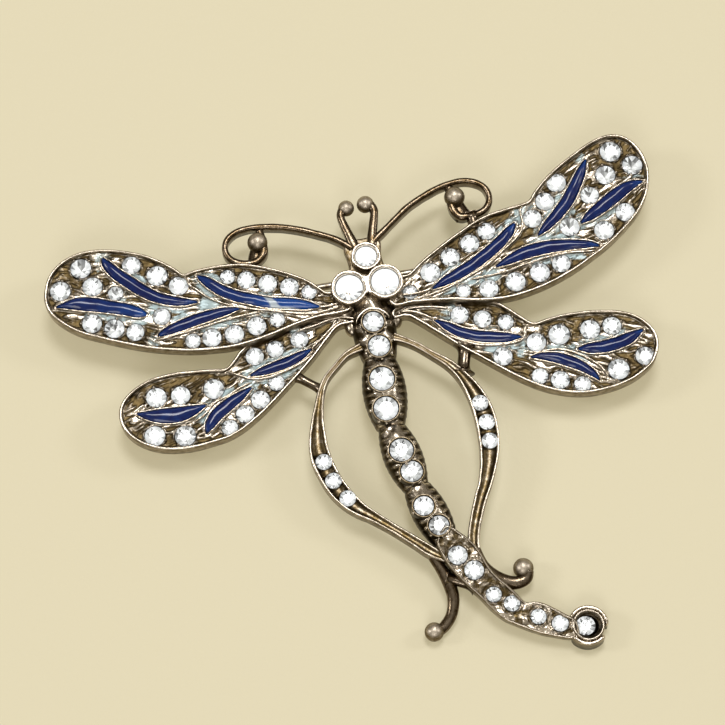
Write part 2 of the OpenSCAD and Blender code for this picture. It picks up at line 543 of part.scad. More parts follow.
module cup(x, y, d, bottom, top) {
    translate([x * span / 100, y * span / 100, bottom])
        cylinder(h = top - bottom, d = d);
}

module head() {
    translate([0, 0, head_top - head_t])
        linear_extrude(head_t)
            polygon(loop(HEAD_EDGE, smooth));
    for (i = [0, 1])
        cup(HEAD_STONES[i][0], HEAD_STONES[i][1], eye_d, head_top - feeler_t, eye_top);
    cup(HEAD_STONES[2][0], HEAD_STONES[2][1], crown_d, head_top - feeler_t, crown_top);
    translate([0, HEAD_STONES[0][1] * span / 100, eye_top - saddle[2]])
        linear_extrude(saddle[2])
            square([saddle[0], saddle[1]], center = true);
}

// A feeler in two lengths, so that its curl may close on its stem
module feeler(rows) {
    line = path(rows, smooth);
    half = floor(len(line) / 2);
    for (part = [[0, half + 1], [half, len(line) - 1]])
        translate([0, 0, feeler_top - feeler_t])
            linear_extrude(feeler_t)
                polygon(ribbon([for (i = [part[0] : part[1]]) line[i]]));
}

// A ribbon that slopes down to the tail from its hinge line at y = hinge
module sloped(hinge, top, slope) {
    translate([0, hinge * span / 100, top])
        rotate([slope, 0, 0])
            translate([0, -hinge * span / 100, 0])
                children();
}

module leg(rows) {
    sloped(LEFT_LEG[0][1], leg_top, leg_slope)
        difference() {
            translate([0, 0, -leg_t])
                linear_extrude(leg_t)
                    polygon(ribbon(path(rows, smooth)));
            translate([0, 0, -leg_channel])
                linear_extrude(leg_channel + past)
                    offset(delta = -leg_edge)
                        polygon(ribbon(path(rows, smooth)));
        }
}

module foot(rows) {
    sloped(FOOT_HINGE, foot_top, foot_slope)
        translate([0, 0, -foot_t])
            linear_extrude(foot_t)
                polygon(ribbon(path(rows, smooth)));
}

module tail() {
    sloped(TAIL_HINGE, tail_top, tail_slope)
        difference() {
            translate([0, 0, -tail_t])
                linear_extrude(tail_t)
                    polygon(loop(TAIL_EDGE, smooth));
            translate([0, 0, -tail_recess])
                linear_extrude(tail_recess + past)
                    offset(delta = -tail_rim)
                        polygon(loop(TAIL_EDGE, smooth));
        }
    cup(TAIL_CUP[0], TAIL_CUP[1], 2 * TAIL_CUP[2] * span / 100, 0, tail_cup_top);
    for (row = CLAWS)
        translate([TAIL_CUP[0] * span / 100, TAIL_CUP[1] * span / 100, 0])
            rotate([0, 0, row[0]])
                rotate_extrude(angle = row[1])
                    translate([TAIL_CUP[2] * span / 100 - joint, 0])
                        square([(TAIL_CUP[3] - TAIL_CUP[2]) * span / 100 + joint, claw_top]);
}

module ball(row) {
    translate([row[0] * span / 100, row[1] * span / 100, row[3]])
        sphere(d = row[2] * span / 100);
}

module rod(row) {
    a = [row[0] * span / 100, row[1] * span / 100, row[2]];
    b = [row[3] * span / 100, row[4] * span / 100, row[5]];
    l = norm(b - a);
    translate(a)
        rotate([0, acos((b[2] - a[2]) / l), atan2(b[1] - a[1], b[0] - a[0])])
            cylinder(h = l, d = row[6] * span / 100);
}

// Hinge and catch: blocks from the back of a forewing down to the surface
module pin_foot(at) {
    translate([at[0], at[1], 0])
        difference() {
            cube([foot_w, foot_w, foot_h]);
            children();
        }
}

module pin_bore(from, l) {
    translate([from, foot_w / 2, pin_z])
        rotate([0, 90, 0])
            cylinder(h = l, d = pin_d + 2 * pin_gap);
}

module hinge() {
    pin_foot(hinge_at)
        pin_bore(hinge_wall, foot_w);
}

module catch() {
    pin_foot(catch_at) {
        pin_bore(-past, foot_w + 2 * past);
        translate([-past, -foot_w / 2, pin_z - pin_d / 2 - pin_gap])
            cube([foot_w + 2 * past, foot_w, pin_d + 2 * pin_gap]);
    }
}

// A hole for one stone: its seat, open to the front
module seat(x, y, d, girdle) {
    translate([x * span / 100, y * span / 100, girdle - seat_depth(d)])
        cylinder(h = seat_depth(d) + seat_rise, d = d * span / 100 + 2 * seat_gap);
}

module frame_metal() {
    wing(LEFT_FORE_EDGE, LEFT_FORE_LEAVES, LEFT_FORE_VEINS, LEFT_FORE_STONES, fore_top);
    wing(RIGHT_FORE_EDGE, RIGHT_FORE_LEAVES, RIGHT_FORE_VEINS, RIGHT_FORE_STONES, fore_top);
    wing(LEFT_HIND_EDGE, LEFT_HIND_LEAVES, LEFT_HIND_VEINS, LEFT_HIND_STONES, hind_top);
    wing(RIGHT_HIND_EDGE, RIGHT_HIND_LEAVES, RIGHT_HIND_VEINS, RIGHT_HIND_STONES, hind_top);
    for (row = BODY)
        spindle(row);
    for (i = [0 : 7])
        collar(BODY_STONES[i]);
    head();
    tail();
    for (rows = [LEFT_LEG, RIGHT_LEG])
        leg(rows);
    for (rows = [LEFT_FOOT, RIGHT_FOOT])
        foot(rows);
    for (rows = [LEFT_FEELER, RIGHT_FEELER, LEFT_HORN, RIGHT_HORN])
        feeler(rows);
    for (row = BALLS)
        ball(row);
    for (row = STRUTS)
        rod(row);
    hinge();
    catch();
}

module frame() {
    color("silver")
        placed()
            difference() {
                union() {
                    frame_metal();
                }
                for (i = [0 : 2])
                    seat(HEAD_STONES[i][0], HEAD_STONES[i][1], HEAD_STONES[i][2], head_girdle(i));
                for (row = concat(BODY_STONES, TAIL_END_STONE, LEFT_LEG_STONES, RIGHT_LEG_STONES))
                    seat(row[0], row[1], row[2], row[3]);
            }
}

module pin_stem() {
    color("silver")
        placed()
            translate([hinge_at[0] + hinge_wall + pin_gap, PIN_Y * span / 100, pin_z])
                rotate([0, 90, 0])
                    rotate_extrude()
                        polygon([
                            [0, 0], [pin_d / 2, 0], [pin_d / 2, pin_l - pin_point],
                            [pin_d * 0.3, pin_l - pin_point * 0.4], [pin_d * 0.1, pin_l], [0, pin_l]
                        ]);
}

module enamel(rows, top) {
    color("navy")
        placed()
            translate([0, 0, top - floor_drop + enamel_gap])
                linear_extrude(enamel_t)
                    offset(delta = -enamel_gap)
                        leaf_plan(rows);
}

// A round cut stone: a table, a crown of 24 facets and a pavilion of 16
function ring(r, z, n) = [for (i = [0 : n - 1]) [r * cos(360 * i / n), r * sin(360 * i / n), z]];
module stone(x, y, d, girdle) {
    w = d * span / 100 * stone_fill;
    color("white")
        placed()
            translate([x * span / 100, y * span / 100, girdle])
                polyhedron(
                    points = concat(
                        ring(w * table_share / 2, w * crown_share, 8),
                        ring(w / 2, 0, 16),
                        [[0, 0, -w * pavilion_share]]
                    ),
                    faces = concat(
                        [[7, 6, 5, 4, 3, 2, 1, 0]],
                        [for (i = [0 : 7]) [i, 8 + 2 * i, 8 + (2 * i + 15) % 16]],
                        [for (i = [0 : 7]) [i, 8 + 2 * i + 1, 8 + 2 * i]],
                        [for (i = [0 : 7]) [i, (i + 1) % 8, 8 + 2 * i + 1]],
                        [for (i = [0 : 15]) [24, 8 + i, 8 + (i + 1) % 16]]
                    )
                );
}

module stone_field(rows, top) {
    for (row = rows)
        stone(row[0], row[1], row[2], girdle_of(top));
}

module lone_stone(row) {
    stone(row[0], row[1], row[2], row[3]);
}

module head_stone(i) {
    stone(HEAD_STONES[i][0], HEAD_STONES[i][1], HEAD_STONES[i][2], head_girdle(i));
}

// What is built

frame();
pin_stem();
enamel(LEAF_LEFT_FORE_OUTER, fore_top);  // leaf_left_fore_outer
enamel(LEAF_LEFT_FORE_UPPER, fore_top);  // leaf_left_fore_upper
enamel(LEAF_LEFT_FORE_LOWER, fore_top);  // leaf_left_fore_lower
enamel(LEAF_LEFT_FORE_INNER, fore_top);  // leaf_left_fore_inner
enamel(LEAF_RIGHT_FORE_INNER, fore_top);  // leaf_right_fore_inner
enamel(LEAF_RIGHT_FORE_LOWER, fore_top);  // leaf_right_fore_lower
enamel(LEAF_RIGHT_FORE_STEEP, fore_top);  // leaf_right_fore_steep
enamel(LEAF_RIGHT_FORE_OUTER, fore_top);  // leaf_right_fore_outer
enamel(LEAF_LEFT_HIND_OUTER, hind_top);  // leaf_left_hind_outer
enamel(LEAF_LEFT_HIND_MIDDLE, hind_top);  // leaf_left_hind_middle
enamel(LEAF_LEFT_HIND_INNER, hind_top);  // leaf_left_hind_inner
enamel(LEAF_RIGHT_HIND_INNER, hind_top);  // leaf_right_hind_inner
enamel(LEAF_RIGHT_HIND_MIDDLE, hind_top);  // leaf_right_hind_middle
enamel(LEAF_RIGHT_HIND_OUTER, hind_top);  // leaf_right_hind_outer
stone_field(LEFT_FORE_STONES, fore_top);  // stones_left_fore
stone_field(RIGHT_FORE_STONES, fore_top);  // stones_right_fore
stone_field(LEFT_HIND_STONES, hind_top);  // stones_left_hind
stone_field(RIGHT_HIND_STONES, hind_top);  // stones_right_hind
head_stone(0);  // stone_left_eye
head_stone(1);  // stone_right_eye
head_stone(2);  // stone_crown
lone_stone(BODY_STONES[0]);  // stone_body_01
lone_stone(BODY_STONES[1]);  // stone_body_02
lone_stone(BODY_STONES[2]);  // stone_body_03
lone_stone(BODY_STONES[3]);  // stone_body_04
lone_stone(BODY_STONES[4]);  // stone_body_05
lone_stone(BODY_STONES[5]);  // stone_body_06
lone_stone(BODY_STONES[6]);  // stone_body_07
lone_stone(BODY_STONES[7]);  // stone_body_08
lone_stone(BODY_STONES[8]);  // stone_body_09
lone_stone(BODY_STONES[9]);  // stone_body_10
lone_stone(BODY_STONES[10]);  // stone_body_11
lone_stone(BODY_STONES[11]);  // stone_body_12
lone_stone(BODY_STONES[12]);  // stone_body_13
lone_stone(BODY_STONES[13]);  // stone_body_14
lone_stone(TAIL_END_STONE[0]);  // stone_tail_end
lone_stone(LEFT_LEG_STONES[0]);  // stone_left_leg_1
lone_stone(LEFT_LEG_STONES[1]);  // stone_left_leg_2
lone_stone(LEFT_LEG_STONES[2]);  // stone_left_leg_3
lone_stone(RIGHT_LEG_STONES[0]);  // stone_right_leg_1
lone_stone(RIGHT_LEG_STONES[1]);  // stone_right_leg_2
lone_stone(RIGHT_LEG_STONES[2]);  // stone_right_leg_3
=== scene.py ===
"""Dragonfly brooch: rimmed wings with dark floors, enamel leaves, cut stones, feelers and legs.

All plan tables are in percent of the span, with x to the right wing and y to the head,
as in the part's source. Shapes are worked out in millimetres and written in metres.
"""

import logging
import math
from dataclasses import dataclass, field
from enum import Enum

import bpy
import numpy as np
from mathutils import Matrix, Vector


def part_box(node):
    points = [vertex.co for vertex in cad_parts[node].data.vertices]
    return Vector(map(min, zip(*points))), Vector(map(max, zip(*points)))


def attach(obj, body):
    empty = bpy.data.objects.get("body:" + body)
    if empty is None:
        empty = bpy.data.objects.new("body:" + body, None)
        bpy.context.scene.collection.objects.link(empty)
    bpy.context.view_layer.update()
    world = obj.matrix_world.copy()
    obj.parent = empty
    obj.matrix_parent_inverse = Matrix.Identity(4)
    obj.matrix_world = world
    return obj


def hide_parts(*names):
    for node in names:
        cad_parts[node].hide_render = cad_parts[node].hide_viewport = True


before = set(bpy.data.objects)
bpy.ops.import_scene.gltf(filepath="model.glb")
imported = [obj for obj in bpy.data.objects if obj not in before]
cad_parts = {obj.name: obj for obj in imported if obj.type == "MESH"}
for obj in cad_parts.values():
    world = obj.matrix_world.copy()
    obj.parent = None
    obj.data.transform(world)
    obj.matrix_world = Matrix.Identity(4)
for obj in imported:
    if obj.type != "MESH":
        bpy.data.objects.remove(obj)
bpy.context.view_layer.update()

LOG = logging.getLogger("brooch")
MM = 0.001
STEP = 0.12  # millimetres between the points of a line
NO_TRIS = np.zeros((0, 3), int)
NO_QUADS = np.zeros((0, 4), int)
Rows = list[list[float]]
Array = np.ndarray

# Tables: plan values in percent of the span, heights in millimetres above the surface
WING_EDGES = {  # [x, y]
    "left_fore": [
        [-3.26, 4.3], [-6.38, 4.45], [-7.42, 5.34], [-9.35, 7.12], [-11.42, 8.46], [-14.39, 9.94],
        [-17.36, 11.13], [-20.33, 11.87], [-23.59, 12.02], [-27.0, 11.8], [-28.64, 11.5], [-29.67, 12.46],
        [-31.16, 13.8], [-32.64, 14.84], [-34.12, 15.73], [-35.61, 16.39], [-37.83, 17.21],
        [-40.06, 17.8], [-42.28, 18.1], [-44.51, 18.03], [-46.74, 17.43], [-48.66, 16.32],
        [-50.15, 14.69], [-51.04, 12.61], [-51.34, 10.68], [-50.89, 8.75], [-49.85, 7.05], [-48.07, 5.34],
        [-45.99, 3.93], [-43.47, 2.74], [-40.8, 1.56], [-37.83, 0.37], [-34.87, -0.59], [-31.9, -1.34],
        [-28.93, -1.93], [-25.96, -2.23], [-23.0, -2.37], [-20.03, -2.08], [-16.32, -1.41],
        [-12.31, -0.37], [-8.46, 0.3], [-3.26, 0.74],
    ],
    "right_fore": [
        [3.26, 4.9], [6.53, 5.19], [7.57, 5.79], [8.75, 6.68], [10.39, 7.79], [13.35, 9.57],
        [16.32, 11.13], [18.69, 12.31], [21.22, 13.2], [24.18, 13.72], [27.0, 14.09], [28.34, 14.47],
        [29.23, 15.58], [30.42, 16.77], [31.9, 18.03], [33.38, 19.14], [35.01, 20.18], [36.8, 21.22],
        [38.58, 22.18], [40.36, 23.0], [42.14, 23.52], [43.77, 23.66], [45.25, 23.29], [46.59, 22.33],
        [47.63, 20.92], [48.37, 19.14], [48.66, 17.06], [48.44, 14.99], [47.77, 12.91], [46.74, 10.98],
        [45.4, 9.2], [43.62, 7.57], [41.54, 5.93], [39.32, 4.38], [36.8, 2.97], [34.12, 1.56],
        [31.16, 0.3], [28.19, -0.67], [25.22, -1.34], [22.26, -1.71], [19.29, -1.63], [16.32, -1.19],
        [13.35, -0.52], [10.39, -0.15], [6.82, 0.15], [3.26, 0.45],
    ],
    "left_hind": [
        [-2.89, -0.17], [-6.6, 0.72], [-13.28, 0.72], [-19.21, -1.06], [-21.73, -2.54], [-23.07, -3.88],
        [-24.55, -5.14], [-26.63, -4.92], [-29.6, -4.62], [-32.57, -4.47], [-35.53, -4.69],
        [-37.76, -5.29], [-39.69, -6.25], [-41.17, -7.44], [-42.06, -8.77], [-42.43, -10.26],
        [-42.21, -11.89], [-41.47, -13.52], [-40.13, -15.0], [-38.35, -16.19], [-36.27, -17.01],
        [-33.75, -17.45], [-31.08, -17.53], [-28.41, -17.23], [-26.04, -16.86], [-23.96, -16.12],
        [-21.88, -15.0], [-19.66, -13.52], [-17.73, -12.04], [-15.65, -10.33], [-13.57, -8.62],
        [-11.65, -6.99], [-9.72, -5.21], [-7.64, -3.14], [-5.56, -1.35], [-2.89, -1.06],
    ],
    "right_hind": [
        [3.34, -0.02], [6.75, 0.87], [13.43, 0.43], [19.36, -1.21], [21.74, -2.84], [23.52, -4.62],
        [25.15, -5.95], [27.23, -5.73], [29.75, -5.43], [31.97, -5.41], [34.2, -5.51], [36.43, -5.81],
        [38.65, -6.25], [40.58, -6.99], [42.21, -8.11], [43.4, -9.51], [44.14, -11.15], [44.22, -12.78],
        [43.7, -14.41], [42.66, -16.04], [41.03, -17.23], [38.95, -18.27], [36.57, -18.94],
        [33.9, -19.31], [31.23, -19.31], [28.56, -18.79], [26.04, -17.9], [23.81, -16.78], [21.59, -15.3],
        [19.36, -13.59], [17.43, -11.96], [15.36, -10.18], [13.28, -8.48], [11.05, -6.4], [8.98, -4.47],
        [6.9, -2.54], [5.42, -1.5], [3.34, -1.5],
    ],
}
LEAVES = {  # [x, y, width]
    "leaf_left_fore_outer": [
        [-49.48, 9.35, 0.15], [-47.77, 9.35, 1.19], [-45.7, 9.2, 2.08], [-43.32, 8.61, 2.15],
        [-40.95, 7.79, 1.93], [-38.58, 6.97, 1.85], [-36.8, 6.16, 1.63], [-35.61, 5.71, 0.52],
    ],
    "leaf_left_fore_upper": [
        [-41.17, 16.47, 0.22], [-40.65, 15.28, 1.26], [-39.47, 13.5, 1.71], [-37.83, 11.87, 1.85],
        [-35.91, 10.01, 1.85], [-33.83, 8.38, 1.63], [-31.6, 7.34, 1.48], [-29.38, 6.68, 1.11],
        [-27.3, 6.38, 0.22],
    ],
    "leaf_left_fore_lower": [
        [-34.05, 1.78, 0.45], [-32.79, 2.15, 1.19], [-30.42, 2.74, 1.63], [-27.74, 3.34, 1.71],
        [-25.22, 3.71, 1.56], [-22.85, 3.93, 1.11], [-20.77, 4.08, 0.22],
    ],
    "leaf_left_fore_inner": [
        [-26.56, 10.76, 0.22], [-25.37, 9.64, 1.26], [-23.59, 7.94, 1.63], [-21.36, 6.45, 1.71],
        [-18.69, 5.27, 1.71], [-15.73, 4.15, 1.71], [-12.76, 3.49, 1.71], [-10.24, 2.74, 1.34],
        [-8.16, 2.15, 0.22],
    ],
    "leaf_right_fore_inner": [
        [10.39, 2.15, 0.22], [12.17, 2.82, 1.19], [14.84, 3.86, 1.71], [17.8, 5.19, 1.78],
        [20.47, 6.75, 1.78], [22.7, 8.31, 1.71], [24.33, 9.79, 1.34], [25.37, 10.98, 0.22],
    ],
    "leaf_right_fore_lower": [
        [21.07, 4.08, 0.22], [22.85, 4.6, 1.11], [25.52, 5.42, 1.85], [28.49, 5.82, 2.0],
        [31.45, 5.82, 1.85], [34.27, 5.56, 1.48], [36.5, 5.19, 1.04], [37.98, 4.75, 0.22],
    ],
    "leaf_right_fore_steep": [
        [28.78, 8.31, 0.22], [30.27, 9.42, 1.26], [32.57, 11.35, 1.71], [34.57, 13.35, 1.85],
        [36.2, 15.58, 1.71], [37.69, 17.88, 1.34], [38.95, 20.03, 0.22],
    ],
    "leaf_right_fore_outer": [
        [36.05, 9.2, 0.3], [37.39, 9.94, 1.34], [39.61, 11.2, 1.93], [41.99, 12.61, 2.08],
        [44.21, 13.8, 1.78], [45.99, 14.39, 1.04], [47.18, 14.54, 0.22],
    ],
    "leaf_left_hind_outer": [
        [-39.47, -10.31, 0.22], [-37.83, -10.91, 1.41], [-35.61, -11.35, 2.23], [-33.23, -11.57, 2.37],
        [-31.01, -11.35, 1.71], [-28.64, -10.76, 0.22],
    ],
    "leaf_left_hind_middle": [
        [-29.08, -15.13, 0.45], [-28.49, -14.17, 1.41], [-27.15, -12.69, 1.85], [-25.22, -11.42, 1.85],
        [-23.15, -10.31, 1.41], [-21.07, -9.12, 0.22],
    ],
    "leaf_left_hind_inner": [
        [-20.77, -7.05, 0.22], [-18.99, -6.75, 1.11], [-16.62, -6.31, 1.56], [-14.24, -5.79, 1.56],
        [-12.31, -5.12, 1.19], [-10.68, -4.38, 0.22],
    ],
    "leaf_right_hind_inner": [
        [9.79, -2.89, 0.22], [11.42, -4.23, 1.19], [13.35, -5.64, 1.56], [15.73, -6.68, 1.71],
        [18.25, -7.34, 1.71], [20.77, -7.86, 1.34], [22.7, -8.01, 0.22],
    ],
    "leaf_right_hind_middle": [
        [23.74, -11.72, 0.22], [25.52, -11.94, 1.04], [27.74, -12.61, 1.63], [29.75, -13.65, 1.71],
        [31.45, -14.84, 1.41], [32.79, -16.17, 0.96], [33.53, -17.21, 0.22],
    ],
    "leaf_right_hind_outer": [
        [31.45, -11.65, 0.37], [32.94, -11.87, 1.41], [35.31, -12.02, 1.85], [37.69, -11.8, 1.85],
        [39.91, -11.2, 1.63], [42.14, -10.24, 0.22],
    ],
}
# How much lighter a leaf is toward the root, and where along it a pale break lies
LEAF_TINTS = {"leaf_left_fore_inner": (0.8, 0.64), "leaf_left_fore_outer": (0.25, 9.0)}
VEINS = {  # [x, y]; the last two of each wing carry its innermost leaves on to the root
    "left_fore": [
        [
            [-28.49, 11.28], [-28.04, 9.5], [-26.85, 8.23], [-25.07, 6.53], [-22.55, 5.04],
            [-19.58, 3.86], [-15.73, 2.82], [-11.13, 1.48], [-6.82, 1.04],
        ],
        [
            [-35.01, 1.11], [-33.23, 1.11], [-30.56, 1.48], [-27.3, 1.93], [-23.74, 2.45], [-20.18, 2.82],
            [-17.06, 2.97],
        ],
        [[-8.3, 2.1], [-6.6, 2.05], [-4.6, 2.3]],
        [[-9.6, 1.0], [-7.2, 1.3], [-4.8, 1.6]],
    ],
    "right_fore": [
        [
            [28.19, 13.95], [26.71, 13.2], [26.56, 10.68], [25.52, 8.75], [23.15, 6.97], [19.88, 4.75],
            [16.62, 3.26], [11.87, 1.56], [7.72, 0.89],
        ],
        [
            [38.28, 4.01], [35.91, 4.08], [33.23, 4.38], [30.27, 4.3], [25.82, 3.64], [21.36, 2.82],
            [18.4, 2.67], [16.17, 2.6],
        ],
        [[10.2, 2.05], [7.6, 1.75], [5.0, 1.9]],
        [[7.3, 4.2], [6.0, 3.3], [4.4, 2.8]],
    ],
    "left_hind": [
        [
            [-24.7, -5.58], [-22.77, -6.62], [-20.99, -7.51], [-18.62, -7.88], [-15.65, -7.36],
            [-12.68, -6.4], [-10.31, -5.06],
        ],
        [
            [-30.93, -13.22], [-29.0, -12.26], [-27.22, -10.63], [-25.0, -9.81], [-22.77, -8.77],
            [-20.7, -8.18],
        ],
        [[-10.6, -4.3], [-8.4, -2.6], [-6.2, -0.9], [-4.6, -0.4]],
        [[-12.4, -0.9], [-9.6, -0.5], [-6.8, 0.1], [-4.6, 0.1]],
    ],
    "right_hind": [
        [
            [25.0, -6.4], [23.67, -6.62], [23.44, -7.66], [22.63, -8.62], [20.7, -8.85], [17.88, -8.62],
            [15.21, -7.96], [12.84, -6.77], [10.76, -5.36],
        ],
        [
            [35.09, -17.23], [34.35, -15.3], [32.57, -13.52], [30.34, -11.96], [27.97, -11.07],
            [25.0, -11.07], [22.63, -10.7],
        ],
        [[9.6, -2.7], [7.6, -1.3], [5.8, -0.6], [4.4, -0.6]],
        [[12.4, -1.3], [10.0, -0.6], [7.0, -0.2], [5.0, -0.3]],
    ],
}
GLAZE = {  # [x, y, radius] of the spots of pale glaze on the wing floors
    "left_fore": [[-33.0, 6.2, 2.4], [-30.4, 4.3, 1.6], [-25.5, 5.6, 1.8], [-37.0, 4.0, 1.8]],
    "right_fore": [[29.7, 7.4, 1.6], [32.6, 8.0, 1.4], [20.0, 2.6, 1.5]],
    "left_hind": [[-25.2, -8.5, 1.6], [-21.5, -8.5, 1.6], [-29.0, -12.5, 1.4]],
    "right_hind": [[18.0, -9.5, 1.6], [27.4, -11.3, 1.5], [31.2, -13.4, 1.4]],
}
BODY = [  # [x0, y0, x1, y1, middle radius, end radius, axis at start, axis at end, ribs]
    [0.0, 4.2, -0.1, -7.6, 1.0, 0.74, 0.0, -0.04, 5],
    [-0.1, -7.0, -0.4, -19.1, 0.98, 0.62, -0.02, -0.06, 10],
    [-0.35, -18.9, 1.8, -29.4, 0.87, 0.56, -0.1, -0.18, 9],
    [1.75, -29.0, 4.9, -38.8, 0.81, 0.54, -0.19, -0.28, 8],
]
HEAD_STONES = [  # [x, y, diameter]
    [-2.97, 4.1, 4.36], [2.85, 4.15, 4.42], [0.63, 9.2, 3.42],
]
BODY_STONES = [  # [x, y, diameter, girdle height]
    [-0.21, -2.3, 3.3, 5.55], [0.0, -6.45, 3.42, 5.45], [-0.52, -11.94, 3.86, 5.35],
    [-0.74, -16.84, 3.86, 5.15], [0.45, -23.89, 3.71, 4.85], [1.44, -27.52, 3.41, 4.65],
    [2.3, -33.31, 3.12, 4.45], [4.08, -36.72, 3.12, 4.2], [6.14, -41.69, 3.04, 3.5],
    [8.25, -44.36, 3.04, 3.18], [10.59, -48.52, 2.45, 2.68], [13.13, -50.37, 2.52, 2.5],
    [16.81, -53.04, 2.45, 2.2], [19.94, -54.6, 2.6, 2.0],
]
TAIL_END_STONE = [[23.74, -55.64, 3.04, 1.95]]
TAIL_HINGE, FOOT_HINGE = -38.6, -41.0
TAIL_EDGE = [  # [x, y] in the sloping plane of the tail, whose hinge line is TAIL_HINGE
    [5.2, -36.9], [7.4, -38.6], [9.0, -40.5], [9.9, -42.4], [10.6, -44.3], [11.7, -46.1], [12.7, -47.3],
    [14.0, -49.0], [15.2, -50.7], [16.6, -50.9], [18.0, -51.4], [19.6, -52.5], [21.0, -53.6],
    [22.4, -54.8], [22.6, -57.2], [21.1, -57.55], [18.8, -56.8], [16.9, -56.1], [15.0, -55.1],
    [13.3, -54.1], [11.5, -52.9], [9.9, -51.1], [8.6, -49.2], [7.2, -47.4], [5.9, -45.6], [4.6, -43.6],
    [3.6, -41.3], [3.3, -39.0],
]
TAIL_CUP = [24.2, -55.6, 2.55, 3.25]  # [x, y, cup radius, radius to the outside of the claws]
CLAWS = [[-8, 158], [205, 112]]  # [start angle, sweep] round the tail cup
LEGS = {  # [x, y, width]
    "left": [
        [-2.6, -5.4, 1.5], [-5.2, -6.3, 1.1], [-7.3, -8.0, 1.0], [-9.1, -9.7, 1.05], [-10.2, -11.6, 1.2],
        [-10.95, -13.8, 1.45], [-11.55, -16.0, 1.95], [-11.95, -18.2, 2.55], [-12.2, -20.5, 3.05],
        [-12.05, -22.8, 3.3], [-11.5, -25.0, 3.25], [-10.55, -27.5, 3.2], [-9.15, -29.8, 2.95],
        [-7.6, -31.6, 2.4], [-5.8, -33.1, 1.85], [-2.9, -35.6, 1.6], [0.1, -38.3, 1.7], [2.4, -40.4, 1.8],
        [5.2, -42.4, 0.9],
    ],
    "right": [
        [2.6, -4.6, 1.5], [4.0, -5.3, 1.15], [6.0, -6.6, 1.05], [8.2, -8.5, 1.1], [10.6, -10.6, 1.5],
        [12.4, -13.1, 1.95], [13.8, -16.2, 2.75], [14.5, -19.2, 3.3], [14.65, -22.2, 3.4],
        [14.35, -25.2, 3.15], [13.6, -28.2, 2.65], [12.5, -31.1, 2.2], [11.55, -32.9, 2.1],
        [10.3, -35.8, 1.95], [9.3, -38.6, 1.85], [8.9, -41.0, 1.9],
    ],
}
FEET = {  # [x, y, width]
    "left": [
        [2.2, -41.0, 1.1], [3.5, -43.4, 1.6], [4.3, -46.2, 1.7], [4.4, -48.2, 1.6], [3.7, -50.4, 1.5],
        [2.3, -52.0, 1.5], [0.9, -52.7, 1.5],
    ],
    "right": [
        [8.9, -41.0, 1.8], [9.6, -43.6, 1.95], [10.9, -45.4, 2.05], [12.6, -46.6, 1.95],
        [14.5, -47.2, 1.75], [16.2, -46.8, 1.55], [16.8, -45.6, 1.35],
    ],
}
FEELERS = {  # [x, y, width]
    "left": [
        [-1.2, 11.4, 1.1], [-2.7, 12.8, 1.0], [-4.45, 14.0, 0.95], [-6.7, 15.1, 0.9], [-8.9, 16.1, 0.9],
        [-11.9, 17.1, 0.9], [-14.8, 17.65, 0.9], [-17.1, 17.8, 0.9], [-19.3, 17.45, 0.9],
        [-20.9, 16.35, 0.9], [-21.45, 14.85, 0.9], [-21.1, 13.35, 0.95], [-19.9, 12.2, 1.0],
        [-18.1, 11.75, 1.0], [-16.5, 12.0, 1.1], [-15.45, 13.2, 1.25], [-15.3, 14.85, 1.3],
        [-15.5, 17.1, 1.2],
    ],
    "right": [
        [1.7, 11.4, 1.1], [3.0, 12.6, 1.0], [4.45, 13.7, 0.95], [6.7, 15.45, 0.9], [8.9, 17.05, 0.9],
        [11.9, 18.55, 0.9], [14.8, 19.6, 0.9], [17.8, 20.05, 0.9], [20.1, 19.6, 0.9], [21.7, 18.4, 0.9],
        [22.25, 16.75, 0.9], [21.8, 15.15, 0.95], [20.5, 14.1, 1.0], [18.55, 13.85, 1.0],
        [17.05, 13.9, 1.1], [16.15, 15.1, 1.25], [15.95, 16.9, 1.3], [16.15, 19.3, 1.2],
    ],
}
HORNS = {  # [x, y, width]
    "left": [
        [-0.7, 11.4, 1.6], [-1.3, 13.7, 1.3], [-1.85, 15.8, 1.15], [-2.1, 17.4, 1.15], [-1.6, 18.6, 1.1],
    ],
    "right": [[2.0, 11.4, 1.6], [2.55, 13.9, 1.3], [3.1, 15.9, 1.2], [3.4, 17.5, 1.2], [2.9, 18.8, 1.15]],
}
PADS = {  # [x, y, width] of the feelers' inner ends under their balls
    "left": [[-16.9, 12.2, 2.6], [-16.6, 13.3, 2.5], [-16.2, 14.6, 2.2], [-15.9, 16.8, 1.3]],
    "right": [[17.7, 14.0, 3.0], [17.2, 15.2, 2.8], [16.8, 16.8, 2.4], [16.4, 18.9, 1.3]],
}
HEAD_EDGE = [  # [x, y] of the plate under the cups
    [-3.9, 1.0], [-4.6, 4.3], [-2.5, 7.4], [-2.3, 9.6], [-2.6, 11.6], [-2.0, 12.9], [0.5, 12.9],
    [2.9, 12.9], [3.5, 11.6], [3.2, 9.6], [3.5, 7.4], [4.6, 4.3], [3.9, 1.0],
]
BALLS = {  # [x, y, diameter, centre height]
    "feeler_ball_left": [-16.1, 15.1, 3.3, 4.2],
    "feeler_ball_right": [16.69, 17.45, 3.4, 4.2],
    "horn_ball_left": [-0.96, 18.6, 2.62, 4.1],
    "horn_ball_right": [2.2, 18.75, 2.82, 4.1],
    "foot_ball_left": [0.55, -52.25, 3.05, 1.15],
    "foot_ball_right": [16.1, -44.7, 3.25, 1.45],
}
STRUTS = [  # [x0, y0, z0, x1, y1, z1, diameter]
    [-13.4, -8.3, 3.2, -10.3, -10.8, 3.2, 1.8], [13.6, -8.3, 3.2, 12.7, -11.6, 3.2, 2.5],
    [19.0, 11.8, 3.9, 18.9, 13.8, 3.9, 2.4], [4.4, -44.6, 1.9, 7.6, -46.2, 1.9, 2.0],
]
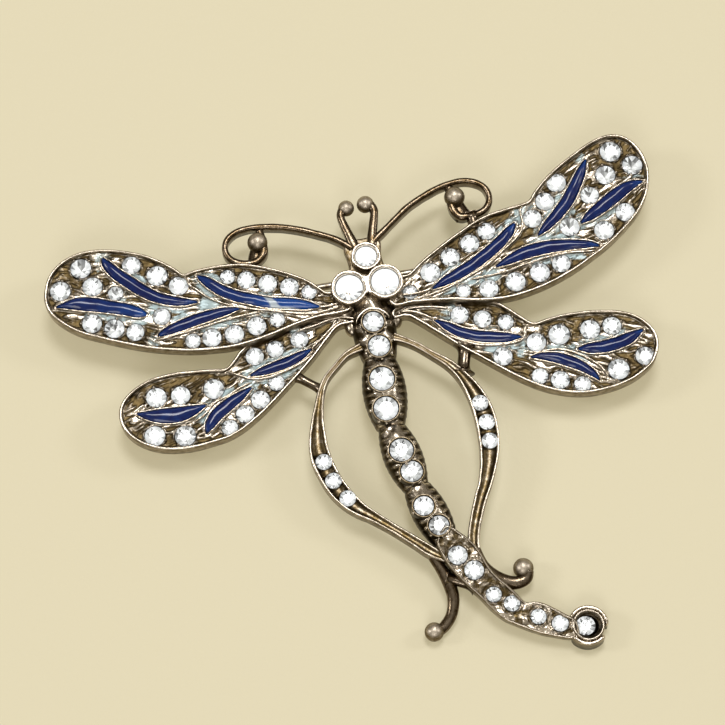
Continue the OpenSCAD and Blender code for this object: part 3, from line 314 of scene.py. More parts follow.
SHOULDERS = [  # [x, y, half width, half length, top], the last three in millimetres
    [-4.1, 1.1, 1.1, 0.9, 4.45], [-3.5, -1.4, 0.8, 1.1, 3.9], [4.2, 1.2, 1.0, 0.8, 4.5],
    [3.5, -1.2, 0.8, 1.1, 3.9],
]


class Part(Enum):
    """Which surface of a piece a vertex lies on, with its polish, warmth and glaze."""

    POLISHED = (1.0, 0.0, 0.0)
    WORN = (0.64, 0.3, 0.0)
    SIDE = (0.27, 0.95, 0.0)
    DEEP = (0.22, 0.8, 0.0)
    RECESS = (0.02, 0.1, 0.0)
    BACK = (0.45, 0.5, 0.0)


POLISHED, WORN, SIDE, DEEP, RECESS, BACK = Part


# Curves and distances in plan
def smooth_curve(rows: Array, closed: bool, steps: int = 6) -> Array:
    """Catmull-Rom curve through the rows of a table, every column alike.

    Between rows b and c, with neighbours a and d, the curve is the cubic whose slope at a row
    is half the step from the row before it to the row after it.

    Args:
        rows: (n, columns) table.
        closed: whether the last row joins the first.
        steps: points for each span between two rows.

    Returns:
        (m, columns) points along the curve.
    """
    if closed:
        a, b, c, d = (np.roll(rows, k, 0) for k in (1, 0, -1, -2))
    else:
        held = np.vstack([rows[:1], rows, rows[-1:]])
        a, b, c, d = held[:-3], held[1:-2], held[2:-1], held[3:]
    t = (np.arange(steps) / steps)[None, :, None]
    a, b, c, d = (m[:, None, :] for m in (a, b, c, d))
    cubic = 2 * b + (c - a) * t + (2 * a - 5 * b + 4 * c - d) * t**2 + (3 * b - 3 * c + d - a) * t**3
    points = (0.5 * cubic).reshape(-1, rows.shape[1])
    return points if closed else np.vstack([points, rows[-1:]])


def even_steps(line: Array, pitch: float, closed: bool = False) -> Array:
    """The same line with points an even step apart, by the running length in plan.

    Args:
        line: (n, columns) points, x and y first.
        pitch: wanted step.
        closed: whether the last point joins the first.

    Returns:
        (m, columns) points.
    """
    points = np.vstack([line, line[:1]]) if closed else line
    run = np.concatenate([[0.0], np.cumsum(np.linalg.norm(np.diff(points[:, :2], axis=0), axis=1))])
    count = max(int(round(run[-1] / pitch)), 8)
    at = np.linspace(0.0, run[-1], count + 1)
    at = at[:-1] if closed else at
    return np.stack([np.interp(at, run, points[:, k]) for k in range(points.shape[1])], 1)


def left_normals(line: Array, closed: bool = False) -> Array:
    """Unit normals to the left of a plan line: the step between neighbours, turned a quarter.

    Args:
        line: (n, 2 or more) plan points.
        closed: whether the last point joins the first.

    Returns:
        (n, 2) unit vectors.
    """
    if closed:
        step = np.roll(line, -1, 0)[:, :2] - np.roll(line, 1, 0)[:, :2]
    else:
        step = np.gradient(line[:, :2], axis=0)
    step = step / np.maximum(np.linalg.norm(step, axis=1, keepdims=True), 1e-9)
    return np.stack([-step[:, 1], step[:, 0]], 1)


def anticlockwise(outline: Array) -> Array:
    """The outline turned so that it runs anticlockwise, by the sign of its area.

    Args:
        outline: (n, 2) corners.

    Returns:
        (n, 2) corners.
    """
    x, y = outline[:, 0], outline[:, 1]
    area = np.sum(x * np.roll(y, -1) - np.roll(x, -1) * y)
    return outline if area > 0 else outline[::-1]


def line_distance(points: Array, line: Array, closed: bool = False) -> Array:
    """Distance in plan from points to a line, less half the line's width where it has one.

    The foot on a segment from a to b is a + t (b - a), with t held between 0 and 1.

    Args:
        points: (n, 2) points.
        line: (m, 2) points, or (m, 3) with a width.
        closed: whether the last point joins the first.

    Returns:
        (n,) distances.
    """
    a = line if closed else line[:-1]
    b = np.roll(line, -1, 0) if closed else line[1:]
    ab = b[:, :2] - a[:, :2]
    length = np.maximum(np.linalg.norm(ab, axis=1), 1e-9)
    far = []
    for part in np.array_split(points, max(len(points) // 6000, 1)):
        ap = part[:, None, :] - a[None, :, :2]
        t = np.clip((ap * ab).sum(2) / length**2, 0.0, 1.0)
        gap = np.linalg.norm(ap - t[:, :, None] * ab, axis=2)
        if line.shape[1] > 2:
            gap = gap - 0.5 * (a[:, 2] + (b[:, 2] - a[:, 2]) * t)
        far.append(gap.min(1))
    return np.concatenate(far)


def inside(points: Array, outline: Array) -> Array:
    """Whether points lie in a closed outline: an odd number of its edges is crossed to the right.

    Args:
        points: (n, 2) points.
        outline: (m, 2) corners of the outline.

    Returns:
        (n,) truth values.
    """
    a, b = outline[:, :2], np.roll(outline, -1, 0)[:, :2]
    found = []
    for part in np.array_split(points, max(len(points) // 8000, 1)):
        x, y = part[:, :1], part[:, 1:]
        spans = (a[:, 1] > y) != (b[:, 1] > y)
        rise = np.where(np.abs(b[:, 1] - a[:, 1]) < 1e-12, 1e-12, b[:, 1] - a[:, 1])
        cross = x < (b[:, 0] - a[:, 0]) * (y - a[:, 1]) / rise + a[:, 0]
        found.append((spans & cross).sum(1) % 2 == 1)
    return np.concatenate(found)


def grid_in(outline: Array, pitch: float, margin: float) -> tuple[tuple[int, int], Array, Array, Array]:
    """A square grid over an outline, of which the points well inside are kept.

    Args:
        outline: (m, 2) corners of the outline.
        pitch: distance between the grid's points.
        margin: how far inside the outline a kept point lies at least.

    Returns:
        The counts along x and y, (n, 2) points, (n,) whether a point is kept, and (n,) distances
        from the outline.
    """
    low, high = outline.min(0), outline.max(0)
    x = np.arange(low[0], high[0] + pitch, pitch)
    y = np.arange(low[1], high[1] + pitch, pitch)
    flat = np.stack(np.meshgrid(x, y, indexing="ij"), 2).reshape(-1, 2)
    keep = inside(flat, outline)
    edge = np.zeros(len(flat))
    edge[keep] = line_distance(flat[keep], outline, True)
    return (len(x), len(y)), flat, keep & (edge > margin), edge


def nearest_stone(at: Array, stones: Array) -> tuple[Array, Array, Array]:
    """Which stone's edge is nearest to each point, how far off, and the direction from its middle.

    Args:
        at: (n, 2) plan points.
        stones: (m, 4) stones as x, y, diameter and girdle height.

    Returns:
        (n,) numbers of stones, (n,) gaps, negative under a stone, and (n,) angles.
    """
    away = at[:, None, :] - stones[None, :, :2]
    gaps = np.linalg.norm(away, axis=2) - stones[:, 2] / 2
    near = gaps.argmin(1)
    row = np.arange(len(at))
    return near, gaps[row, near], np.arctan2(away[row, near, 1], away[row, near, 0])


def bar_axes(a: Array, b: Array) -> tuple[Array, Array]:
    """Two directions across a bar from a to b.

    Args:
        a: (3,) start.
        b: (3,) end.

    Returns:
        The level unit vector to its right, and the one out of its front, square to both.
    """
    along = (b - a) / np.linalg.norm(b - a)
    right = np.cross(along, [0.0, 0.0, 1.0])
    right /= np.linalg.norm(right)
    return right, np.cross(right, along)


def angles(count: int) -> Array:
    """That many even angles once round a circle."""
    return 2 * math.pi * np.arange(count) / count


def soft_step(value: Array, low: float, high: float) -> Array:
    """0 below low, 1 above high, and the cubic 3 t t - 2 t t t between them."""
    t = np.clip((value - low) / (high - low), 0.0, 1.0)
    return t * t * (3.0 - 2.0 * t)


def grain(points: Array, pitch: float, seed: int) -> Array:
    """Smooth random values between 0 and 1, from a seeded lattice of that pitch.

    Args:
        points: (n, 2) plan points.
        pitch: distance between the lattice's points.
        seed: seed of the lattice.

    Returns:
        (n,) values, blended between the four lattice points round each point.
    """
    lattice = np.random.default_rng(seed).random((128, 128))
    at = points / pitch
    cell = np.floor(at).astype(int)
    t = at - cell
    t = t * t * (3.0 - 2.0 * t)
    i, j = cell[:, 0] % 128, cell[:, 1] % 128
    k, m = (i + 1) % 128, (j + 1) % 128
    low = lattice[i, j] * (1 - t[:, 0]) + lattice[k, j] * t[:, 0]
    high = lattice[i, m] * (1 - t[:, 0]) + lattice[k, m] * t[:, 0]
    return low * (1 - t[:, 1]) + high * t[:, 1]


@dataclass
class Shape:
    """Vertices, faces and surface tones of a piece while it is put together, in millimetres."""

    co: list[Array] = field(default_factory=list)
    tone: list[Array] = field(default_factory=list)
    quads: list[Array] = field(default_factory=list)
    tris: list[Array] = field(default_factory=list)
    faces: list[Array] = field(default_factory=list)
    count: int = 0

    def add(self, co: Array, tone: Array, quads: Array, tris: Array) -> None:
        """Adds vertices with their tones, and faces that count from the first of them.

        Args:
            co: (n, 3) points.
            tone: (n, 3) tones, or one for all.
            quads: (m, 4) corners.
            tris: (m, 3) corners.
        """
        self.co.append(co)
        self.tone.append(np.broadcast_to(tone, (len(co), 3)))
        self.quads.append(quads.reshape(-1, 4) + self.count)
        self.tris.append(tris.reshape(-1, 3) + self.count)
        self.count += len(co)

    def tube(self, points: Array, tone: Array, closed: bool = False) -> None:
        """Adds a section that is carried along a path, as a closed skin.

        Args:
            points: (path, section, 3); the section joins its own start.
            tone: (path, section, 3) tones, or anything that spreads to it.
            closed: whether the path joins its own start; if not, its ends are filled by fans.
        """
        n, m = points.shape[:2]
        tone = np.broadcast_to(tone, (n, m, 3)).reshape(-1, 3)
        co = points.reshape(-1, 3)
        i = np.arange(n if closed else n - 1)[:, None]
        j = np.arange(m)[None, :]
        k, l = (i + 1) % n, (j + 1) % m
        quads = np.stack([i * m + j, k * m + j, k * m + l, i * m + l], 2).reshape(-1, 4)
        tris = NO_TRIS
        if not closed:
            ends = np.stack([points[0].mean(0), points[-1].mean(0)])
            co = np.vstack([co, ends])
            tone = np.vstack([tone, tone[:m].mean(0), tone[-m:].mean(0)])
            j, l = np.arange(m), (np.arange(m) + 1) % m
            first = np.stack([np.full(m, n * m), j, l], 1)
            last = np.stack([np.full(m, n * m + 1), (n - 1) * m + l, (n - 1) * m + j], 1)
            tris = np.vstack([first, last])
        corners = np.vstack([quads[:, [0, 1, 2]], quads[:, [0, 2, 3]], tris])
        a, b, c = (co[corners[:, q]] for q in range(3))
        if np.einsum("ij,ij->", a, np.cross(b, c)) < 0:
            quads, tris = quads[:, ::-1], tris[:, ::-1]
        self.add(co, tone, quads, tris)

    def slab(self, points: Array, tone: Array) -> None:
        """Adds a wall that runs round an outline, closed below and above by flat faces.

        Args:
            points: (outline, section, 3), the outline anticlockwise and the section rising
                from the edge of the lower face to the edge of the upper one.
            tone: (section, 3) tones, or (outline, section, 3).
        """
        n, m = points.shape[:2]
        i, j = np.arange(n)[:, None], np.arange(m - 1)[None, :]
        k = (i + 1) % n
        quads = np.stack([i * m + j, k * m + j, k * m + j + 1, i * m + j + 1], 2)
        self.faces.append(np.arange(n)[::-1] * m + self.count)
        self.faces.append(np.arange(n) * m + m - 1 + self.count)
        tone = np.broadcast_to(tone, points.shape).reshape(-1, 3)
        self.add(points.reshape(-1, 3), tone, quads, NO_TRIS)

    def sheet(self, points: Array, tone: Array, keep: Array, skirt: float) -> None:
        """Adds a height field on the kept points of a grid, with a skirt round its edge.

        Args:
            points: (x, y, 3) grid.
            tone: (x, y, 3) tones.
            keep: (x, y) whether a point is used.
            skirt: how far the skirt reaches down.
        """
        whole = keep[:-1, :-1] & keep[1:, :-1] & keep[1:, 1:] & keep[:-1, 1:]
        i, j = np.nonzero(whole)
        wide = keep.shape[1]
        quads = np.stack([i * wide + j, (i + 1) * wide + j, (i + 1) * wide + j + 1, i * wide + j + 1], 1)
        used, quads = np.unique(quads, return_inverse=True)
        quads = quads.reshape(-1, 4)
        co, shade = points.reshape(-1, 3)[used], tone.reshape(-1, 3)[used]
        a, b = quads.ravel(), np.roll(quads, -1, 1).ravel()
        count = len(used)
        lone = ~np.isin(a * count + b, b * count + a)
        a, b = a[lone], b[lone]
        ring = np.unique(a)
        low = co[ring]
        low[:, 2] -= skirt
        under_a, under_b = np.searchsorted(ring, a) + count, np.searchsorted(ring, b) + count
        hem = np.stack([b, a, under_a, under_b], 1)
        shade = np.vstack([shade, shade[ring]])
        self.add(np.vstack([co, low]), shade, np.vstack([quads, hem]), NO_TRIS)

    def piece(
        self, name: str, finish: "Finish", stands_for: str = "frame", smooth: bool = True
    ) -> bpy.types.Object:
        """Writes the shape into a mesh object, which rides on the root and takes its finish.

        Args:
            name: the piece's name.
            finish: the finish it is dressed in.
            stands_for: the CAD node that the piece replaces.
            smooth: whether its faces are shaded smooth.

        Returns:
            The new object.
        """
        co = np.vstack(self.co) * MM
        quads, tris = np.vstack(self.quads), np.vstack(self.tris)
        mesh = bpy.data.meshes.new(name)
        mesh.vertices.add(len(co))
        mesh.vertices.foreach_set("co", co.ravel())
        loops = np.concatenate([quads.ravel(), tris.ravel(), *self.faces])
        mesh.loops.add(len(loops))
        mesh.loops.foreach_set("vertex_index", loops)
        wide = np.array([len(face) for face in self.faces], int)
        total = np.concatenate([np.full(len(quads), 4), np.full(len(tris), 3), wide])
        mesh.polygons.add(len(total))
        mesh.polygons.foreach_set("loop_start", np.cumsum(total) - total)
        mesh.polygons.foreach_set("loop_total", total)
        mesh.polygons.foreach_set("use_smooth", np.full(len(total), smooth))
        mesh.update(calc_edges=True)
        tone = mesh.attributes.new("tone", "FLOAT_VECTOR", "POINT")
        tone.data.foreach_set("vector", np.vstack(self.tone).ravel())
        obj = placed(name, mesh)
        mesh.materials.append(finish.material())
        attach(obj, "root")
        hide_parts(stands_for)
        LOG.info("%s: %d vertices, %d faces", name, len(co), len(total))
        return obj


def tones(*parts: Part) -> Array:
    """The tones of a section's points, one Part each."""
    return np.array([part.value for part in parts])


def toned(bright: Array, warm: Array | float) -> Array:
    """Tones of that polish and warmth, without glaze; the polish may also be a painted highlight and the
    warmth a painted shade.
    """
    return np.stack([bright, warm + 0 * bright, 0 * bright], -1)


def both_sides(*parts: Part) -> Array:
    """The tones of a section that is alike on both sides, given from its edge to its middle."""
    return tones(*parts, *parts[-2::-1])


def carried(line: Array, offset: Array, height: Array, closed: bool = False) -> Array:
    """A section carried along a plan line: line point + left normal x offset, at height.

    Args:
        line: (n, 2 or more) plan points.
        offset: (section,) or (n, section) distances to the left.
        height: (section,) or (n, section) heights.
        closed: whether the line joins its own start.

    Returns:
        (n, section, 3) points.
    """
    normal = left_normals(line, closed)
    n = len(line)
    offset = np.broadcast_to(offset, (n, np.shape(offset)[-1]))
    height = np.broadcast_to(height, offset.shape)
    plan = line[:, None, :2] + normal[:, None, :] * offset[:, :, None]
    return np.concatenate([plan, height[:, :, None]], 2)


def sloped(points: Array, hinge: float, top: float, slope: float) -> Array:
    """Points turned down by slope degrees about the line y = hinge, which lies at height top.

    Args:
        points: (..., 3) points, with heights counted from the sloping plane.
        hinge: y of the hinge line.
        top: its height.
        slope: degrees.

    Returns:
        (..., 3) turned points.
    """
    c, s = math.cos(math.radians(slope)), math.sin(math.radians(slope))
    away = points[..., 1] - hinge
    turned = [points[..., 0], hinge + away * c - points[..., 2] * s, top + away * s + points[..., 2] * c]
    return np.stack(turned, -1)


def tapered(count: int, ends: float) -> Array:
    """A share along a path that rises from 0 to 1 and falls back over its first and last ends."""
    at = np.linspace(0.0, 1.0, count)
    return np.sqrt(np.clip(np.minimum(at, 1.0 - at) / ends, 0.0, 1.0))


def seated(points: Array, stones: Array, margin: float, depth: float) -> Array:
    """Points with those under a stone lowered, so that nothing of the metal stands in the stone.

    Args:
        points: (..., 3) points.
        stones: (n, 4) rows of x, y, diameter and girdle height.
        margin: how far outside the girdle points are still lowered.
        depth: how far below the girdle they end.

    Returns:
        The points, each one's height held to the girdle's less depth where it is under a stone.
    """
    lowered = points.copy()
    for x, y, d, girdle in stones:
        under = np.hypot(points[..., 0] - x, points[..., 1] - y) < d / 2 + margin
        lowered[..., 2] = np.where(under, np.minimum(lowered[..., 2], girdle - depth), lowered[..., 2])
    return lowered


def wander(run: Array, pitch: float, seed: float) -> Array:
    """A slow hand-made unevenness between -1 and 1: three sine waves of unlike lengths."""
    w = 2 * math.pi * run / pitch
    return (np.sin(w + seed) + np.sin(2.3 * w + 2.1 * seed) + np.sin(0.37 * w + 3.7 * seed)) / 3


@dataclass(frozen=True)
class Finish:
    """A finish: builds its material once."""

    name: str
    slot: str

    def material(self) -> bpy.types.Material:
        """The material of this finish, built when it is first asked for.

        Returns:
            The material.
        """
        found = bpy.data.materials.get(self.name)
        if found is None:
            found = bpy.data.materials.new(self.name)
            found.use_nodes = True
            found.node_tree.nodes.clear()
            self.wire(Nodes(found.node_tree))
        return found

    def wire(self, nodes: "Nodes") -> None:
        """Builds the shader; each finish has its own."""
        raise NotImplementedError


@dataclass
class Nodes:
    """Short ways to add and join shader nodes of one tree."""

    tree: bpy.types.NodeTree

    def new(self, kind: str, **values: object) -> bpy.types.Node:
        """Adds a node and sets its properties, or its sockets where the name is a socket's.

        Args:
            kind: the node's type without its ShaderNode.
            values: properties and sockets by name.

        Returns:
            The node.
        """
        node = self.tree.nodes.new("ShaderNode" + kind)
        for key, value in values.items():
            if hasattr(node, key):
                setattr(node, key, value)
            else:
                self.put(node.inputs[key.replace("_", " ")], value)
        return node

    def put(self, socket: bpy.types.NodeSocket, value: object) -> None:
        """Joins an output to a socket, or sets the socket's own value.

        Args:
            socket: an input.
            value: an output, or a plain value.
        """
        if isinstance(value, bpy.types.NodeSocket):
            self.tree.links.new(value, socket)
        else:
            socket.default_value = value

    def noise(self, scale: float, detail: float = 3.0, stretch: tuple = (1, 1, 1)) -> bpy.types.NodeSocket:
        """Noise over the object, with scale in waves a millimetre.

        Args:
            scale: waves a millimetre.
            detail: finer layers.
            stretch: scale along each axis.

        Returns:
            The noise's output.
        """
        where = self.new("TexCoord").outputs["Object"]
        mapping = self.new("Mapping", Vector=where, Scale=tuple(s / MM for s in stretch))
        noise = self.new("TexNoise", Vector=mapping.outputs[0], Scale=scale, Detail=detail)
        return noise.outputs["Fac"]

    def ramp(self, value: object, low: float, high: float, start: float = 0.0, end: float = 1.0) -> object:
        """Maps value from low..high to start..end and holds it there."""
        node = self.new("MapRange", Value=value, From_Min=low, From_Max=high, To_Min=start, To_Max=end)
        return node.outputs[0]

    def sum(self, kind: str, a: object, b: object) -> bpy.types.NodeSocket:
        """A Math node on two values.

        Args:
            kind: the operation.
            a: first value.
            b: second value.

        Returns:
            The result's output.
        """
        node = self.new("Math", operation=kind)
        self.put(node.inputs[0], a)
        self.put(node.inputs[1], b)
        return node.outputs[0]

    def blend(self, share: object, a: object, b: object) -> bpy.types.NodeSocket:
        """Colour a where share is 0 and b where it is 1.

        Args:
            share: from 0 to 1.
            a: first colour.
            b: second colour.

        Returns:
            The colour's output.
        """
        node = self.new("Mix", data_type="RGBA")
        self.put(node.inputs[0], share)
        self.put(node.inputs[6], a)
        self.put(node.inputs[7], b)
        return node.outputs[2]

    def tone(self) -> list:
        """The polish, warmth and glaze that the mesh carries; in places the polish and warmth also carry
        painted highlights and painted shade.
        """
        attribute = self.new("Attribute", attribute_name="tone")
        return list(self.new("SeparateXYZ", Vector=attribute.outputs["Vector"]).outputs)

    def bump(self, height: object, distance: float, strength: float = 1.0) -> bpy.types.NodeSocket:
        """A bump of that many millimetres."""
        node = self.new("Bump", Height=height, Distance=distance * MM, Strength=strength)
        return node.outputs[0]

    def surface(self, shader: bpy.types.Node) -> None:
        """Gives the shader to the material's output."""
        output = self.tree.nodes.new("ShaderNodeOutputMaterial")
        self.tree.links.new(shader.outputs[0], output.inputs["Surface"])


@dataclass(frozen=True)
class AntiqueSilver(Finish):
    """Silver plate that is polished on the rims, brown on the sides and black in the recesses."""

    polished: tuple = (0.81, 0.72, 0.61, 1)
    warm: tuple = (0.170, 0.118, 0.048, 1)
    dark: tuple = (0.020, 0.014, 0.007, 1)
    glaze: tuple = (0.53, 0.68, 0.73, 1)
    matt: float = 0.34
    gloss: float = 0.20

    def wire(self, nodes: Nodes) -> None:
        """Blends dark, warm and polished metal by the mesh's tones, broken up by noise.

        Args:
            nodes: the material's nodes.
        """
        # The first two tones carry polish and patina, and in places painted highlights and painted shade as
        # well.
        polish_and_sheen, warmth_and_shade, glaze = nodes.tone()
        blotch = nodes.noise(1.6, 4.0)
        fine = nodes.noise(9.0, 5.0)
        broken = nodes.sum("ADD", polish_and_sheen, nodes.ramp(blotch, 0.3, 0.7, -0.14, 0.14))
        broken = nodes.sum("ADD", broken, nodes.ramp(fine, 0.35, 0.65, -0.10, 0.10))
        bright = nodes.ramp(broken, 0.14, 0.90)
        warmth_and_shade = nodes.sum("MULTIPLY", warmth_and_shade, nodes.ramp(fine, 0.3, 0.7, 0.6, 1.0))
        shade = nodes.blend(warmth_and_shade, self.dark, self.warm)
        metal = nodes.blend(bright, shade, self.polished)
        flecked = nodes.sum("ADD", glaze, nodes.ramp(fine, 0.35, 0.65, -0.2, 0.2))
        spill = nodes.ramp(flecked, 0.35, 0.95, 0.0, 0.9)
        colour = nodes.blend(spill, metal, self.glaze)
        rough = nodes.ramp(bright, 0.0, 1.0, self.matt, self.gloss)
        rough = nodes.sum("ADD", rough, nodes.ramp(fine, 0.3, 0.7, -0.03, 0.05))
        metallic = nodes.ramp(spill, 0.0, 1.0, 1.0, 0.0)
        shader = nodes.new("BsdfPrincipled", Base_Color=colour, Metallic=metallic, Roughness=rough)
        nodes.put(shader.inputs["Normal"], nodes.bump(nodes.noise(5.0, 4.0), 0.035, 0.5))
        nodes.surface(shader)


@dataclass(frozen=True)
class Wire(Finish):
    """Drawn plated wire with faint lines along it."""

    colour: tuple = (0.62, 0.58, 0.53, 1)

    def wire(self, nodes: Nodes) -> None:
        """Brushed metal: noise drawn out along x for the bump and the roughness.

        Args:
            nodes: the material's nodes.
        """
        lines = nodes.noise(1.0, 3.0, (0.4, 14.0, 14.0))
        stain = nodes.blend(nodes.ramp(nodes.noise(1.2), 0.35, 0.65), (0.30, 0.24, 0.17, 1), self.colour)
        shader = nodes.new("BsdfPrincipled", Base_Color=stain, Metallic=1.0)
        nodes.put(shader.inputs["Roughness"], nodes.ramp(lines, 0.3, 0.7, 0.24, 0.40))
        nodes.put(shader.inputs["Normal"], nodes.bump(lines, 0.02, 0.4))
        nodes.surface(shader)


@dataclass(frozen=True)
class BlueEnamel(Finish):
    """Glossy deep blue enamel, with lighter and pale places where the mesh says so."""

    deep: tuple = (0.0003, 0.0064, 0.084, 1)
    light: tuple = (0.006, 0.070, 0.34, 1)
    pale: tuple = (0.50, 0.58, 0.66, 1)

    def wire(self, nodes: Nodes) -> None:
        """Deep blue with a slow change of depth, and a clear coat over it.

        Args:
            nodes: the material's nodes.
        """
        lift, _, pale = nodes.tone()
        cloud = nodes.ramp(nodes.noise(1.1, 3.0), 0.35, 0.7, 0.0, 0.25)
        colour = nodes.blend(nodes.sum("ADD", lift, cloud), self.deep, self.light)
        colour = nodes.blend(nodes.ramp(nodes.sum("ADD", pale, cloud), 0.35, 0.75), colour, self.pale)
        shader = nodes.new("BsdfPrincipled", Base_Color=colour, Roughness=0.3)
        shader.inputs["Specular IOR Level"].default_value = 0.1
        shader.inputs["Coat Weight"].default_value = 1.0
        shader.inputs["Coat Roughness"].default_value = 0.02
        shader.inputs["Coat IOR"].default_value = 1.42
        nodes.put(shader.inputs["Normal"], nodes.bump(nodes.noise(0.7, 3.0), 0.12, 0.7))
        nodes.surface(shader)


@dataclass(frozen=True)
class ClearCrown(Finish):
    """The clear crown of a cut stone: glossy by its Fresnel share and see-through for the rest."""

    def wire(self, nodes: Nodes) -> None:
        """Gloss over a clear body, with faint wear in the gloss.

        Args:
            nodes: the material's nodes.
        """
        gloss = nodes.new("BsdfPrincipled", Base_Color=(0.97, 0.98, 1.0, 1))
        nodes.put(gloss.inputs["Roughness"], nodes.ramp(nodes.noise(2.0), 0.4, 0.7, 0.02, 0.09))
        gloss.inputs["Metallic"].default_value = 1.0
        clear = nodes.new("BsdfTransparent", Color=(0.97, 0.98, 0.99, 1))
        mix = nodes.new("MixShader")
        fresnel = nodes.new("Fresnel", IOR=1.6).outputs[0]
        nodes.put(mix.inputs[0], nodes.ramp(fresnel, 0.0, 1.0, 0.015, 1.0))
        nodes.put(mix.inputs[1], clear.outputs[0])
        nodes.put(mix.inputs[2], gloss.outputs[0])
        nodes.surface(mix)


@dataclass(frozen=True)
class Foil(Finish):
    """The foil behind a cut stone, lighter and darker from facet to facet as painted reflections, and glowing
    as painted light.
    """

    def wire(self, nodes: Nodes) -> None:
        """Pale foil whose brightness is each facet's painted reflection, with faint clouding, and which glows
        by emission as painted light.

        Args:
            nodes: the material's nodes.
        """
        share = nodes.tone()[0]
        cloud = nodes.ramp(nodes.noise(1.3), 0.35, 0.7, 0.0, 0.12)
        shade = nodes.sum("SUBTRACT", share, cloud)
        colour = nodes.blend(shade, (0.09, 0.092, 0.09, 1), (0.97, 0.98, 0.98, 1))
        # Painted light: an emission glow, stronger on the lighter facets.
        glow = nodes.blend(nodes.ramp(shade, 0.2, 1.0), (0.10, 0.10, 0.10, 1), (0.97, 0.98, 0.96, 1))
        shader = nodes.new("BsdfPrincipled", Base_Color=colour, Emission_Color=glow, Metallic=0.15)
        shader.inputs["Emission Strength"].default_value = 0.46
        nodes.put(shader.inputs["Roughness"], nodes.ramp(shade, 0.0, 1.0, 0.18, 0.34))
        nodes.surface(shader)


@dataclass(frozen=True)
class PaleLeather(Finish):
    """The plain pale surface that the brooch lies on."""

    colour: tuple = (0.52, 0.485, 0.375, 1)
    glow: tuple = (0.80, 0.70, 0.42, 1)

    def wire(self, nodes: Nodes) -> None:
        """Matt cream with a soft low relief, and a faint glow that keeps its shadows light.

        Args:
            nodes: the material's nodes.
        """
        shader = nodes.new("BsdfPrincipled", Base_Color=self.colour, Roughness=0.62)
        shader.inputs["Emission Color"].default_value = self.glow
        shader.inputs["Emission Strength"].default_value = 0.34
        nodes.put(shader.inputs["Normal"], nodes.bump(nodes.noise(0.55, 4.0), 0.14, 0.5))
        nodes.surface(shader)


SILVER = AntiqueSilver("antique_silver", "metal")
SATIN = AntiqueSilver("satin_silver", "metal", matt=0.50, gloss=0.38)
BRONZED = AntiqueSilver(
    "bronzed_silver", "metal", (0.47, 0.39, 0.31, 1), (0.115, 0.076, 0.036, 1), matt=0.21, gloss=0.14)
STEEL = Wire("pin_wire", "pin_steel")
ENAMEL = BlueEnamel("blue_enamel", "enamel")
CRYSTAL = ClearCrown("clear_crown", "cut_stone")
FOIL = Foil("stone_foil", "cut_stone")
LEATHER = PaleLeather("pale_leather", "")


@dataclass(frozen=True)
class Plan:
    """Turns table shares into millimetres of the row frame, measured on the CAD frame's box."""

    share: float
    mid: Array

    @classmethod
    def measured(cls) -> "Plan":
        """Works the scale and the middle out from the box of the metal and the forewing outlines.

        Returns:
            The plan.
        """
        low, high = (np.array(corner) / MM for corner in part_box("frame"))
        share = (high[0] - low[0]) / 100
        left = smooth_curve(np.array(WING_EDGES["left_fore"]), True, 2) * share
        right = smooth_curve(np.array(WING_EDGES["right_fore"]), True, 2) * share
        return cls(share, np.array([left[:, 0].min() - low[0], right[:, 1].max() - high[1]]))

    def at(self, rows: Rows) -> Array:
        """Rows of a table in millimetres, counted from the middle of the metal's box.

        Args:
            rows: (n, 2 or 3) rows of x, y and a width, in percent of the span.

        Returns:
            (n, 2 or 3) the same in millimetres.
        """
        out = np.array(rows, float) * self.share
        out[:, :2] -= self.mid
        return out

    def raised(self, rows: Rows) -> Array:
        """Rows [x, y, diameter, height]: shares but for the height, which is in millimetres."""
        return np.column_stack([self.at([row[:3] for row in rows]), [row[3] for row in rows]])

    def line(self, rows: Rows) -> Array:
        """A smooth open line through the rows, with points one step apart."""
        return even_steps(smooth_curve(self.at(rows), False), STEP)

    def outline(self, rows: Rows, step: float = STEP) -> Array:
        """A smooth closed outline through the rows, anticlockwise, with points one step apart."""
        return even_steps(anticlockwise(smooth_curve(self.at(rows), True)), step, True)


def placed(name: str, data: bpy.types.ID) -> bpy.types.Object:
    """A new object in the scene.

    Args:
        name: its name.
        data: the mesh, lamp or camera that it shows.

    Returns:
        The object.
    """
    obj = bpy.data.objects.new(name, data)
    bpy.context.scene.collection.objects.link(obj)
    return obj


def mesh_points(mesh: bpy.types.Mesh) -> Array:
    """The vertices of a mesh in millimetres.

    Args:
        mesh: the mesh.

    Returns:
        (n, 3) points.
    """
    co = np.zeros(len(mesh.vertices) * 3)
    mesh.vertices.foreach_get("co", co)
    return co.reshape(-1, 3) / MM


def stone_places(node: str) -> Array:
    """Where the stones of a CAD node lie, read from the culets in its mesh.

    A stone's diameter is its depth below the girdle over the pavilion's share of it.

    Args:
        node: name of a node of one or more stones.

    Returns:
        (n, 4) rows of x, y, diameter and girdle height in millimetres.
    """
    points = np.unique(np.round(mesh_points(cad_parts[node].data), 3), axis=0)
    girdle = np.median(points[:, 2])
    culets = points[points[:, 2] < girdle - 0.2]
    diameter = (girdle - culets[:, 2]) / CutStone.pavilion
    return np.column_stack([culets[:, :2], diameter, np.full(len(culets), girdle)])


